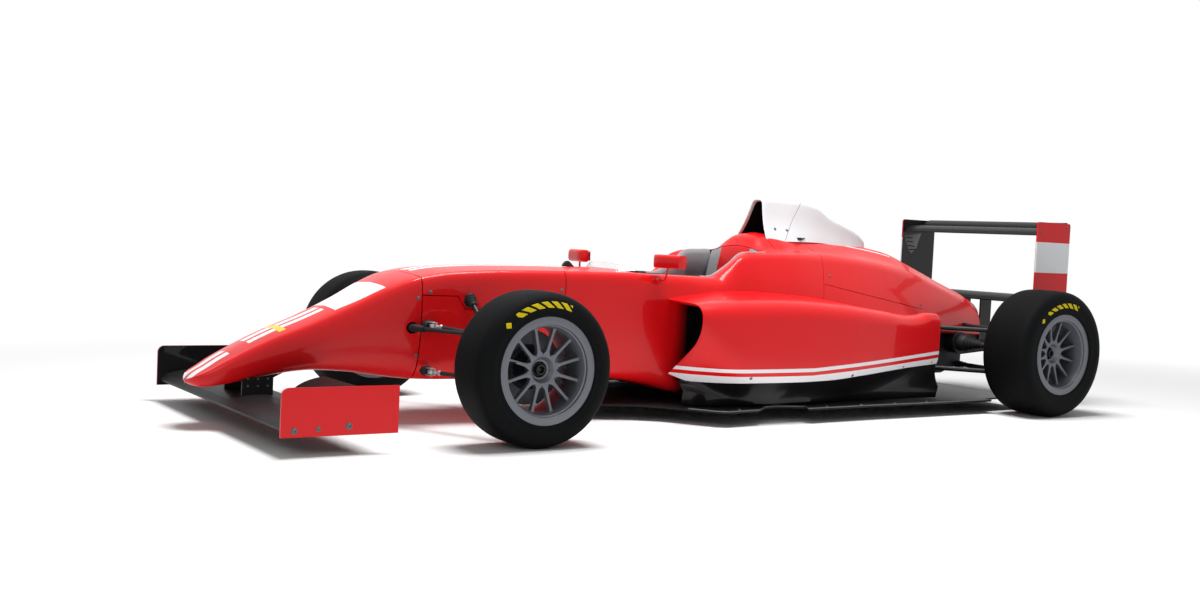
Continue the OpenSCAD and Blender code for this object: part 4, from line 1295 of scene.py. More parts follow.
@dataclass
class CentreBody:
    """Skins from the nose tip to the tail: nose, tub with its hatch seams and inner wall, and cover."""

    tip: float = 2.073
    seam: float = 1.290
    tail: float = -1.880
    wall: float = 0.004
    opening: tuple[float, float] = (-0.332, 0.335)
    cover_seam: float = -0.560
    top_z: Curve = field(default_factory=lambda: Curve(
        (2.075, 0.186), (2.03, 0.205), (1.965, 0.245), (1.81, 0.325), (1.65, 0.392), (1.51, 0.458),
        (1.39, 0.520), (1.29, 0.556), (1.165, 0.578), (0.955, 0.590), (0.705, 0.594), (0.45, 0.594),
        (0.30, 0.590), (0.15, 0.583), (-0.01, 0.580), (-0.13, 0.630), (-0.20, 0.680), (-0.30, 0.690),
        (-0.335, 0.716), (-0.352, 0.744), (-0.385, 0.766), (-0.43, 0.772), (-0.50, 0.767), (-0.707, 0.763), (-1.025, 0.738),
        (-1.227, 0.711), (-1.367, 0.667), (-1.586, 0.589), (-1.775, 0.525), (-1.892, 0.474)))
    crown_y: Curve = field(default_factory=lambda: Curve(
        (2.075, 0.032), (1.81, 0.053), (1.51, 0.068), (1.29, 0.090), (0.955, 0.103), (0.45, 0.116),
        (0.15, 0.118), (-0.13, 0.10), (-0.34, 0.086), (-0.42, 0.090), (-0.50, 0.082),
        (-0.6, 0.06), (-0.8, 0.045), (-1.0, 0.035), (-1.2, 0.03), (-1.885, 0.03)))
    crown_z: Curve = field(default_factory=lambda: Curve(
        (0.30, -0.004), (-0.20, -0.003), (-0.34, -0.007), (-0.40, -0.009), (-0.50, -0.005),
        (-0.8, -0.010), (-1.2, -0.004), (-1.885, -0.006)))
    valley_y: Curve = field(default_factory=lambda: Curve(
        (2.075, 0.056), (2.03, 0.067), (1.965, 0.080), (1.81, 0.094), (1.65, 0.107), (1.51, 0.122),
        (1.39, 0.142), (1.29, 0.161), (1.165, 0.171), (0.955, 0.182), (0.705, 0.194), (0.45, 0.206),
        (0.30, 0.206), (0.15, 0.198), (-0.01, 0.19), (-0.14, 0.19), (-0.2, 0.175), (-0.36, 0.168),
        (-0.5, 0.165), (-0.7, 0.158), (-1.0, 0.125), (-1.2, 0.10), (-1.37, 0.085), (-1.6, 0.062),
        (-1.885, 0.045)))
    valley_drop: Curve = field(default_factory=lambda: Curve(
        (2.075, -0.010), (0.30, -0.010), (0.15, -0.004), (-0.01, -0.004), (-0.20, 0.0), (-0.30, -0.004),
        (-0.335, -0.030), (-0.352, -0.057), (-0.385, -0.077), (-0.43, -0.083), (-0.5, -0.068), (-0.7, -0.063),
        (-1.0, -0.060), (-1.2, -0.054), (-1.37, -0.042), (-1.6, -0.030), (-1.885, -0.021)))
    shoulder_y: Curve = field(default_factory=lambda: Curve(
        (2.075, 0.070), (2.03, 0.084), (1.965, 0.100), (1.81, 0.118), (1.65, 0.134), (1.51, 0.152),
        (1.39, 0.178), (1.29, 0.201), (1.165, 0.214), (0.955, 0.228), (0.705, 0.243), (0.45, 0.258),
        (0.30, 0.268), (0.15, 0.262), (-0.01, 0.250), (-0.139, 0.250), (-0.25, 0.252), (-0.407, 0.250),
        (-0.693, 0.222), (-1.052, 0.180), (-1.329, 0.140), (-1.6, 0.100), (-1.885, 0.060)))
    shoulder_z: Curve = field(default_factory=lambda: Curve(
        (2.075, 0.182), (2.03, 0.198), (1.965, 0.234), (1.81, 0.310), (1.65, 0.374), (1.51, 0.438),
        (1.39, 0.499), (1.29, 0.540), (1.165, 0.563), (0.955, 0.576), (0.705, 0.581), (0.45, 0.583),
        (0.30, 0.580), (0.15, 0.577), (-0.03, 0.574), (-0.095, 0.620), (-0.160, 0.674), (-0.25, 0.683),
        (-0.407, 0.687), (-0.693, 0.680), (-1.052, 0.652), (-1.329, 0.603), (-1.6, 0.535),
        (-1.885, 0.44)))
    waist_y: Curve = field(default_factory=lambda: Curve(
        (2.075, 0.072), (2.03, 0.087), (1.965, 0.105), (1.81, 0.124), (1.65, 0.141), (1.51, 0.160),
        (1.39, 0.186), (1.29, 0.209), (1.165, 0.221), (0.955, 0.234), (0.705, 0.248), (0.45, 0.263),
        (0.30, 0.275), (0.15, 0.280), (-0.01, 0.288), (-0.139, 0.300), (-0.25, 0.316), (-0.407, 0.318),
        (-0.693, 0.300), (-1.052, 0.252), (-1.329, 0.200), (-1.6, 0.145), (-1.885, 0.078)))
    waist_z: Curve = field(default_factory=lambda: Curve(
        (2.075, 0.165), (2.03, 0.170), (1.965, 0.185), (1.81, 0.230), (1.65, 0.280), (1.51, 0.320),
        (1.39, 0.350), (1.29, 0.365), (1.165, 0.370), (0.955, 0.375), (0.705, 0.380), (0.45, 0.380),
        (0.30, 0.385), (0.15, 0.50), (-0.01, 0.515), (-0.139, 0.530), (-0.25, 0.535), (-0.407, 0.54),
        (-0.693, 0.52), (-1.052, 0.50), (-1.329, 0.48), (-1.6, 0.44), (-1.885, 0.39)))
    base_y: Curve = field(default_factory=lambda: Curve(
        (2.075, 0.060), (2.03, 0.074), (1.965, 0.090), (1.81, 0.106), (1.65, 0.118), (1.51, 0.130),
        (1.39, 0.150), (1.29, 0.175), (1.165, 0.190), (0.955, 0.205), (0.705, 0.220), (0.45, 0.238),
        (0.30, 0.250), (0.15, 0.270), (-0.01, 0.28), (-0.139, 0.30), (-0.25, 0.33), (-0.407, 0.34),
        (-0.693, 0.335), (-1.052, 0.290), (-1.329, 0.235), (-1.6, 0.165), (-1.885, 0.085)))
    base_z: Curve = field(default_factory=lambda: Curve(
        (2.075, 0.146), (2.03, 0.146), (1.965, 0.154), (1.81, 0.185), (1.65, 0.202), (1.51, 0.195),
        (1.39, 0.180), (1.29, 0.169), (1.165, 0.165), (0.955, 0.165), (0.705, 0.172), (0.45, 0.160),
        (0.30, 0.14), (0.15, 0.10), (-0.01, 0.09), (-0.139, 0.09), (-0.24, 0.40), (-0.407, 0.42),
        (-0.693, 0.40), (-1.052, 0.36), (-1.329, 0.345), (-1.6, 0.33), (-1.885, 0.318)))
    keel_z: Curve = field(default_factory=lambda: Curve(
        (2.075, 0.143), (2.03, 0.142), (1.965, 0.148), (1.81, 0.178), (1.65, 0.194), (1.51, 0.186),
        (1.39, 0.169), (1.29, 0.158), (1.165, 0.154), (0.955, 0.154), (0.705, 0.160), (0.45, 0.150),
        (0.30, 0.130), (0.15, 0.10), (-0.01, 0.08), (-0.139, 0.08), (-0.24, 0.40), (-0.407, 0.41),
        (-1.885, 0.31)))
    shoulder_cut: Curve = field(default_factory=lambda: Curve(
        (2.075, 0.026), (1.81, 0.045), (1.29, 0.052), (0.30, 0.045), (0.0, 0.034), (-1.0, 0.036), (-1.885, 0.022)))
    base_cut: Curve = field(default_factory=lambda: Curve(
        (2.075, 0.03), (1.81, 0.06), (1.39, 0.085), (0.955, 0.075), (0.45, 0.06), (0.0, 0.04), (-1.885, 0.02)))

    def section(self, x: float) -> list[Vector]:
        """Half section from the top to the keel at a place along the car."""
        top, keel = self.top_z(x), self.keel_z(x)
        corners = [(0.0, top), (self.crown_y(x), top + self.crown_z(x)),
                   (self.valley_y(x), top + self.valley_drop(x)), (self.shoulder_y(x), self.shoulder_z(x)),
                   (self.waist_y(x), self.waist_z(x)), (self.base_y(x), self.base_z(x)), (0.0, keel)]
        cuts = (0.035, 0.030, self.shoulder_cut(x), 0.12, self.base_cut(x))
        path = rounded(corners, cuts, 7)
        reach = self.tip - x
        if reach < 0.045:
            scale = math.sqrt(max(0.0004, 1 - ((0.045 - reach) / 0.045) ** 2))
            middle = (top + keel) / 2
            path = [Vector((p.x * scale, middle + (p.y - middle) * scale)) for p in path]
        return [Vector((x, p.x, p.y)) for p in path]

    def skin(self, front: float, back: float, step: float = 0.014) -> Shape:
        """Whole skin between two places along the car, its faces outwards."""
        count = max(2, round((front - back) / step))
        places = [front + (back - front) * i / count for i in range(count + 1)]
        if front >= self.tip:
            places = [self.tip - 0.045 * t * t for t in (0.0, 0.15, 0.3, 0.45, 0.6, 0.75, 0.9)] + \
                     [p for p in places if p < self.tip - 0.045]
        half = Shape.loft([self.section(x) for x in places])
        half.both_sides()
        bmesh.ops.remove_doubles(half.bm, verts=half.bm.verts, dist=1e-5)
        half.outward()
        face = max(half.bm.faces, key=lambda f: f.calc_center_median().z)
        if face.normal.z < 0:
            bmesh.ops.reverse_faces(half.bm, faces=half.bm.faces)
        return half

    def nose(self) -> None:
        """Nose cone with its rounded tip and seam."""
        shape = self.skin(self.tip, self.seam + 0.0018)
        for side in SIDES:
            self.punch(shape, Vector((1.322, side * 0.205, 0.360)), 0.021)
        rim = [e for e in shape.bm.edges if e.is_boundary and abs(e.verts[0].co.x - self.tip) < 0.001]
        if rim:
            bmesh.ops.holes_fill(shape.bm, edges=rim, sides=0)
        shape.thicken(self.wall)
        shape.piece("nose_shell", "chassis", Lacquer("nose_lacquer", RED, rough=0.38, coat=0.3, gloss=0.15, mottle=0.05,
                                                     grain=0.000006, cells=500, livery=Livery.NOSE),
                    ["nose_cone"], "red_paint", 40)

    def tub(self) -> None:
        """Tub with the hatch seam, cockpit opening and pushrod holes, and the body behind it."""
        shape = self.skin(self.seam - 0.0018, -0.660)
        front, rear = self.opening[1], self.opening[0]
        for place, normal in ((front, 1), (rear, 1)):
            shape.score((place, 0, 0), (normal, 0, 0))
        for side in SIDES:
            shape.score((0, side * 0.192, 0), (0, 1, 0))
        shape.drop(lambda c: rear < c.x < front and abs(c.y) < 0.192 and c.z > 0.5)
        shape.groove((0.705, 0, 0.5), (1, 0, 0), 0.003, lambda c: c.z > 0.478)
        shape.groove((1.2, 0, 0.478), (0, 0, 1), 0.003, lambda c: 1.154 < c.x < 1.29 and abs(c.y) > 0.1)
        shape.groove((1.154, 0, 0.478), (0.8344, 0, -0.5511), 0.003,
                     lambda c: 1.118 < c.x < 1.156 and 0.430 < c.z < 0.479 and abs(c.y) > 0.1)
        shape.groove((1.0, 0, 0.431), (0, 0, 1), 0.003, lambda c: 0.800 < c.x < 1.124 and abs(c.y) > 0.1)
        shape.groove((0.800, 0, 0.431), (0.8344, 0, 0.5511), 0.003,
                     lambda c: 0.765 < c.x < 0.803 and 0.430 < c.z < 0.479 and abs(c.y) > 0.1)
        shape.groove((0.74, 0, 0.478), (0, 0, 1), 0.003, lambda c: 0.704 < c.x < 0.770 and abs(c.y) > 0.1)
        shape.groove((-0.42, 0, 0.70), (1, 0, -0.1), 0.0026, lambda c: c.z > 0.692 and c.x < -0.38)
        shape.trim((-0.6045, 0, 0.60), (-0.95, 0, -0.31))
        for side in SIDES:
            self.punch(shape, Vector((1.104, side * 0.222, 0.461)), 0.024)
        shape.thicken(self.wall)
        shape.piece("tub_shell", "chassis", Lacquer("tub_lacquer", RED, rough=0.38, coat=0.3, gloss=0.15, mottle=0.05,
                                                    grain=0.000006, cells=500, livery=Livery.TUB),
                    ["monocoque", "damper_hatch"], "red_paint", 40)
        liner = Shape()
        for side in SIDES:
            liner.add(Shape.lathe([(0.0, 0.0245), (0.0, 0.020), (-0.012, 0.0195), (-0.012, 0.0245)], 32)
                      .bevelled(0.001, 2, 40).place(Matrix.Diagonal((1.0, side, 1.0, 1.0)))
                      .shift(1.104, side * 0.2285, 0.461))
        liner.piece("pushrod_collars", "chassis", RUBBER_BOOT)
        inside = self.skin(self.seam - 0.03, -0.33, 0.05)
        inside.place(Matrix.Translation((0, 0, 0.035)) @ Matrix.Diagonal((1, 0.90, 0.88, 1)))
        inside.drop(lambda c: (c.z > 0.50 and c.x < 0.345) or c.z > 0.55)
        bmesh.ops.reverse_faces(inside.bm, faces=inside.bm.faces)
        inside.piece("tub_inner_wall", "chassis", LAMINATE, (), "carbon")

    @staticmethod
    def punch(shape: Shape, centre: Vector, radius: float) -> None:
        """Cut a round hole through a side skin.

        Args:
            shape: The skin.
            centre: Middle of the hole.
            radius: Its radius.
        """
        side = 1 if centre.y > 0 else -1

        def near(point: Vector) -> bool:
            """Whether a point lies round the hole."""
            return point.y * side > 0.15 and (Vector((point.x - centre.x, 0, point.z - centre.z))).length < radius * 2

        steps = 16
        for i in range(steps):
            angle = TAU * i / steps
            out = Vector((math.cos(angle), 0, math.sin(angle)))
            faces = [f for f in shape.bm.faces if near(f.calc_center_median())]
            edges = {e for f in faces for e in f.edges}
            verts = {v for f in faces for v in f.verts}
            bmesh.ops.bisect_plane(shape.bm, geom=list(verts) + list(edges) + faces, dist=1e-6,
                                   plane_co=centre + out * radius, plane_no=out)
        shape.drop(lambda c: near(c) and Vector((c.x - centre.x, 0, c.z - centre.z)).length < radius * 0.985)

    def cover(self) -> None:
        """Engine cover and its seams."""
        shape = self.skin(-0.540, self.tail)
        shape.drop(lambda c: c.z < 0.42 + max(0.0, -1.1 - c.x) * -0.15 and abs(c.y) < self.base_y(c.x) - 0.02)
        shape.trim((-0.6075, 0, 0.60), (0.95, 0, 0.31))
        for side in SIDES:
            shape.groove((3.391, side * 4.462, 0.7174), (0.1619, side * -0.1179, -0.9797), 0.0026,
                         lambda c, side=side: c.y * side > 0.1 and -1.31 < c.x < -0.58)
        shape.thicken(self.wall)
        shape.piece("cover_shell", "chassis", Lacquer("cover_lacquer", RED, rough=0.38, coat=0.3, gloss=0.15, mottle=0.05,
                                                      grain=0.000006, cells=500, livery=Livery.COVER),
                    ["engine_cover"], "red_paint", 40)

    def build(self) -> None:
        """Make all of it."""
        self.nose()
        self.tub()
        self.cover()


# --------------------------------------------------------------------------------------- sidepods


@dataclass
class Sidepod:
    """Sidepod of one side: shell, dark skirt, inlet with its duct, and radiator."""

    side: int
    front: float = 0.236
    back: float = -1.190
    crease_y: Curve = field(default_factory=lambda: Curve(
        (0.236, 0.283), (0.18, 0.284), (0.10, 0.287), (0.0, 0.292), (-0.2, 0.30), (-0.5, 0.305),
        (-0.8, 0.285), (-1.0, 0.265), (-1.2, 0.245)))
    crease_z: Curve = field(default_factory=lambda: Curve(
        (0.236, 0.482), (0.18, 0.492), (0.10, 0.503), (0.0, 0.516), (-0.2, 0.522), (-0.5, 0.505),
        (-0.8, 0.462), (-1.0, 0.430), (-1.2, 0.398)))
    shoulder_y: Curve = field(default_factory=lambda: Curve(
        (0.236, 0.512), (0.18, 0.522), (0.10, 0.530), (0.0, 0.536), (-0.2, 0.538), (-0.5, 0.532),
        (-0.8, 0.505), (-1.0, 0.470), (-1.2, 0.430)))
    shoulder_z: Curve = field(default_factory=lambda: Curve(
        (0.236, 0.474), (0.18, 0.480), (0.10, 0.485), (0.0, 0.488), (-0.2, 0.490), (-0.5, 0.478),
        (-0.8, 0.455), (-0.97, 0.440), (-1.06, 0.447), (-1.13, 0.464), (-1.19, 0.462)))
    belly_y: Curve = field(default_factory=lambda: Curve(
        (0.236, 0.500), (0.18, 0.522), (0.10, 0.538), (0.0, 0.545), (-0.2, 0.547), (-0.5, 0.538),
        (-0.8, 0.503), (-1.0, 0.468), (-1.2, 0.432)))
    belly_z: Curve = field(default_factory=lambda: Curve(
        (0.236, 0.335), (0.18, 0.29), (0.10, 0.24), (0.0, 0.225), (-0.2, 0.220), (-0.5, 0.224),
        (-0.8, 0.236), (-1.0, 0.246), (-1.2, 0.256)))
    base_y: Curve = field(default_factory=lambda: Curve(
        (0.236, 0.30), (0.18, 0.37), (0.10, 0.452), (0.0, 0.50), (-0.2, 0.517), (-0.5, 0.511),
        (-0.8, 0.482), (-1.0, 0.450), (-1.2, 0.420)))
    base_z: Curve = field(default_factory=lambda: Curve(
        (0.236, 0.185), (0.18, 0.162), (0.10, 0.163), (-0.1, 0.165), (-0.25, 0.165), (-0.42, 0.168),
        (-0.65, 0.184), (-0.93, 0.205), (-1.19, 0.218)))
    skirt_y: Curve = field(default_factory=lambda: Curve(
        (0.236, 0.292), (0.18, 0.40), (0.02, 0.45), (-0.132, 0.48), (-0.32, 0.48), (-0.62, 0.44),
        (-0.90, 0.44), (-1.19, 0.44)))
    skirt_z: Curve = field(default_factory=lambda: Curve(
        (0.236, 0.130), (0.18, 0.120), (0.024, 0.091), (-0.132, 0.076), (-0.32, 0.077), (-0.62, 0.085),
        (-0.90, 0.10), (-1.19, 0.116)))

    @property
    def name(self) -> str:
        """Side of the car in words."""
        return "left" if self.side > 0 else "right"

    def placed(self, shape: Shape) -> Shape:
        """Mirror a shape that was built on the left to this side."""
        return shape if self.side > 0 else shape.place(Matrix.Diagonal((1, -1, 1, 1)))

    def section(self, x: float) -> list[Vector]:
        """Open section from the crease beside the body down to the base."""
        corners = [(self.crease_y(x) - 0.05, self.crease_z(x) + 0.006), (self.crease_y(x), self.crease_z(x)),
                   (self.shoulder_y(x), self.shoulder_z(x)), (self.belly_y(x), self.belly_z(x)),
                   (self.base_y(x), self.base_z(x))]
        return [Vector((x, p.x, p.y)) for p in rounded(corners, (0.02, 0.075, 0.09), 9)]

    def shell(self) -> None:
        """Outer shell with the rolled inlet lip and the turned-in tail."""
        steps = 96
        places = [self.front + (self.back - self.front) * i / steps for i in range(steps + 1)]
        rings = [self.section(x) for x in places]
        rows = [[p.copy() for p in ring] for ring in rings]
        first = rows[0]
        lip = []
        for depth, inset in ((-0.060, 0.020), (-0.030, 0.016), (-0.012, 0.0105), (-0.003, 0.006), (0.0005, 0.0025)):
            ring = []
            for point in first:
                inward = Vector((0, 0.38 - point.y, 0.37 - point.z)).normalized()
                ring.append(point + inward * inset + X_AXIS * depth)
            lip.append(ring)
        tail = []
        for depth, shrink in ((0.003, 0.996), (0.005, 0.975), (0.0052, 0.93)):
            tail.append([Vector((self.back - depth, 0.24 + (p.y - 0.24) * shrink,
                                 0.34 + (p.z - 0.34) * shrink)) for p in rows[-1]])
        shape = Shape.loft(lip + rows + tail)
        face = max(shape.bm.faces, key=lambda f: f.calc_center_median().y)
        if face.normal.y < 0:
            bmesh.ops.reverse_faces(shape.bm, faces=shape.bm.faces)
        shape.thicken(0.003)
        self.placed(shape).piece(f"{self.name}_pod_shell", "chassis",
                                 Lacquer("pod_lacquer", RED, rough=0.38, coat=0.3, gloss=0.15, mottle=0.05, grain=0.000006,
                                         cells=500, livery=Livery.POD),
                                 [f"{self.name}_sidepod"], "red_paint", 45)

    def skirt(self) -> None:
        """Hollow-faced dark panel between the shell and the floor."""
        rings = []
        for i in range(73):
            x = 0.205 + (self.back - 0.205) * i / 72
            top = Vector((x, self.base_y(x) - 0.001, self.base_z(x) + 0.001))
            foot = Vector((x, self.skirt_y(x), self.skirt_z(x)))
            ring = [top + Vector((0, -0.010, 0.006))]
            for k in range(9):
                t = k / 8
                sink = 4 * t * (1 - t) * 0.012
                ring.append(top.lerp(foot, t) - Vector((0, sink, 0)))
            ring.append(Vector((x, foot.y - 0.012, min(foot.z, 0.066))))
            rings.append(ring)
        shape = Shape.loft(rings)
        face = max(shape.bm.faces, key=lambda f: f.calc_center_median().y)
        if face.normal.y < 0:
            bmesh.ops.reverse_faces(shape.bm, faces=shape.bm.faces)
        shape.thicken(0.003)
        self.placed(shape).piece(f"{self.name}_skirt", "chassis", GLOSS_BLACK, (), "carbon", 45)

    def duct(self) -> None:
        """Duct from the inlet to the radiator in near-black painted shade, and the finned core."""
        rings = []
        for i in range(9):
            t = i / 8
            x = 0.185 - 0.33 * t
            ring = []
            for point in self.section(max(x, -0.14)):
                ring.append(Vector((x, 0.292 + (point.y - 0.292) * 0.92, 0.30 + (point.z - 0.30) * 0.90)))
            ring.append(Vector((x, 0.250, 0.15)))
            ring.append(Vector((x, 0.250, 0.47)))
            rings.append(ring)
        shape = Shape.loft(rings, closed=True)
        bmesh.ops.reverse_faces(shape.bm, faces=shape.bm.faces)
        # The duct is coloured as the shade inside the inlet, not as its own material.
        self.placed(shape).piece(f"{self.name}_duct", "chassis", SHADE_BLACK)
        core = Shape.box((-0.184, 0.305, 0.19), (-0.150, 0.470, 0.455), 0.003)
        for i in range(22):
            z = 0.195 + i * 0.0118
            core.add(Shape.box((-0.1500, 0.310, z), (-0.1465, 0.468, z + 0.0022)))
        for y in (0.305, 0.460):
            core.add(Shape.box((-0.188, y - 0.004, 0.185), (-0.143, y + 0.014, 0.460), 0.003))
        self.placed(core).piece(f"{self.name}_radiator_core", "chassis", DARK_STEEL,
                                ["radiators"] if self.side > 0 else [], "radiator")

    def build(self) -> None:
        """Make the whole sidepod."""
        self.shell()
        self.skirt()
        self.duct()


# ---------------------------------------------------------------------------- cockpit and airbox


@dataclass(frozen=True)
class Clear(Finish):
    """Clear moulded plastic."""

    def material(self) -> bpy.types.Material:
        """Glossy see-through plastic with faint smears."""
        graph = Graph(self.name)
        smear = graph.noise(14.0, 3.0) * 0.04 + 0.04
        return graph.close({"Base Color": self.colour, "Roughness": smear, "Transmission Weight": 0.95,
                            "IOR": 1.45})


SCREEN = Clear("screen_plastic", rgba(0.93, 0.95, 0.96))
MIRROR = Finish("mirror_glass", rgba(0.80, 0.82, 0.84), rough=0.04, metal=1.0, mottle=0.02, grain=0.000002)
POD_RED = Lacquer("plain_red_lacquer", RED, rough=0.38, coat=0.3, gloss=0.15, mottle=0.05, grain=0.000006, cells=500)
FRONT_PLATE_PAINT = Lacquer("front_plate_paint", RED, rough=0.38, coat=0.3, gloss=0.15, mottle=0.05, grain=0.000006,
                            livery=Livery.FRONT_PLATE)
REAR_PLATE_PAINT = Lacquer("rear_plate_paint", RED, rough=0.38, coat=0.3, gloss=0.15, mottle=0.05, grain=0.000006,
                           livery=Livery.REAR_PLATE)


@dataclass
class Airbox:
    """White intake fairing over the roll hoop, with a near-black funnel of painted shade in its mouth, and a sensor."""

    top: Curve = field(default_factory=lambda: Curve(
        (-0.440, 0.922), (-0.465, 0.930), (-0.55, 0.928), (-0.655, 0.925), (-0.765, 0.910), (-0.855, 0.865),
        (-0.985, 0.820), (-1.065, 0.790), (-1.11, 0.757)))
    half: Curve = field(default_factory=lambda: Curve(
        (-0.44, 0.112), (-0.55, 0.112), (-0.655, 0.098), (-0.765, 0.078), (-0.985, 0.044), (-1.11, 0.012)))
    foot: Curve = field(default_factory=lambda: Curve(
        (-0.44, 0.735), (-0.55, 0.738), (-0.707, 0.740), (-1.025, 0.716), (-1.11, 0.712)))

    def section(self, x: float, scale: float = 1.0) -> list[Vector]:
        """Half section from the crest to the foot, pulled in by a scale for the mouth."""
        top, half, foot = self.top(x), self.half(x), self.foot(x)
        crest = min(0.030, half * 0.55)
        height = top - foot
        corners = [(0.0, top), (crest, top - 0.003), (crest + (half - crest) * 0.42, foot + height * 0.42),
                   (half, foot)]
        path = rounded(corners, (0.022, 0.05), 8)
        middle = foot + height * 0.42
        return [Vector((x, p.x * scale, middle + (p.y - middle) * scale)) for p in path]

    def build(self) -> None:
        """Make the fairing, the painted-shade funnel in its mouth and the sensor."""
        places = [-0.445 - 0.665 * i / 60 for i in range(61)]
        rows = [self.section(x) for x in places]
        for row in rows:
            for point in row:
                point.x += (self.top(-0.46) - point.z) * 0.16 * max(0.0, 1 - (-0.445 - row[0].x) / 0.2)
        lip = []
        for depth, scale in ((-0.012, 0.90), (-0.004, 0.905), (0.001, 0.93), (0.0025, 0.97)):
            ring = [p.copy() for p in rows[0]]
            middle = Vector((0, 0, self.foot(-0.445) + 0.066))
            for point in ring:
                point.y *= scale
                point.z = middle.z + (point.z - middle.z) * scale
                point.x += depth
            lip.append(ring)
        shape = Shape.loft(lip + rows).both_sides()
        bmesh.ops.remove_doubles(shape.bm, verts=shape.bm.verts, dist=1e-5)
        shape.outward()
        face = max(shape.bm.faces, key=lambda f: f.calc_center_median().z)
        if face.normal.z < 0:
            bmesh.ops.reverse_faces(shape.bm, faces=shape.bm.faces)
        shape.groove((-0.6095, 0, 0.843), (0.75, 0, 0.66), 0.0028, lambda c: c.x < -0.50 and abs(c.y) > 0.012)
        shape.thicken(0.003)
        shape.piece("airbox_shell", "chassis", WHITE_LACQUER, ["roll_hoop_fairing"], "white_paint", 40)
        # A funnel closing to a point inside the mouth, in near-black painted shade.
        ring = [Vector((p.x - 0.02, p.y, p.z)) for p in lip[0]]
        rows = [lip[0], ring]
        for depth, scale in ((0.05, 0.8), (0.10, 0.55), (0.13, 0.25), (0.135, 0.01)):
            rows.append([Vector((p.x - depth, p.y * scale, 0.81 + (p.z - 0.81) * scale)) for p in ring])
        mouth = Shape.loft(rows).both_sides()
        mouth.piece("airbox_mouth_shade", "chassis", SHADE_BLACK)
        sensor = Shape.box((-0.628, 0.090, 0.748), (-0.600, 0.104, 0.758), 0.002)
        sensor.add(Shape.bar((-0.628, 0.097, 0.753), (-0.648, 0.094, 0.757), 0.0025, sides=10))
        sensor.piece("airbox_sensor", "chassis", SATIN_BLACK)


@dataclass
class Fasteners:
    """Screws of the body panels and the wing plates, on both sides of the car."""

    panel: tuple[tuple[tuple[float, float, float], tuple[float, float, float]], ...] = (
        ((1.3041, 0.2018, 0.4681), (0.175, 0.983, 0.046)), ((1.3010, 0.1960, 0.2620), (0.16, 0.98, -0.12)),
        ((1.2596, 0.2074, 0.4908), (0.117, 0.992, 0.043)), ((0.7227, 0.2437, 0.5095), (0.058, 0.998, 0.025)),
        ((-0.6489, 0.2685, 0.5961), (-0.119, 0.898, 0.424)), ((-0.6260, 0.2850, 0.5540), (-0.109, 0.924, 0.365)),
        ((-1.3068, 0.2047, 0.4711), (-0.212, 0.922, 0.324)), ((-0.4814, 0.0804, 0.7910), (0.0, 0.887, 0.461)),
        ((-0.5500, 0.0820, 0.7880), (0.0, 0.887, 0.461)), ((-0.0116, 0.5175, 0.1862), (0.071, 0.81, -0.582)),
        ((-0.5772, 0.5110, 0.1864), (-0.103, 0.877, -0.47)), ((-0.9300, 0.4640, 0.2140), (-0.153, 0.864, -0.479)),
        ((-1.1500, 0.4280, 0.2260), (-0.153, 0.864, -0.479)))
    plate: tuple[tuple[float, float, float, float], ...] = (
        (1.9367, 0.679, 0.0840, 0.0080), (1.8601, 0.679, 0.0880, 0.0060), (1.7585, 0.679, 0.0930, 0.0085),
        (-2.0561, 0.434, 0.8714, 0.0060), (-1.8560, 0.434, 0.8400, 0.0050), (-2.0400, 0.434, 0.5000, 0.0050),
        (-1.8560, 0.434, 0.5000, 0.0050))

    def build(self) -> None:
        """Make all the screws."""
        screws = Shape()
        for side in SIDES:
            for at, out in self.panel:
                screws.add(bolt((at[0], at[1] * side, at[2]), (out[0], out[1] * side, out[2]), 0.005))
            for x, y, z, radius in self.plate:
                screws.add(bolt((x, y * side, z), (0, side, 0), radius))
        screws.piece("body_screws", "chassis", CALIPER_GREY)


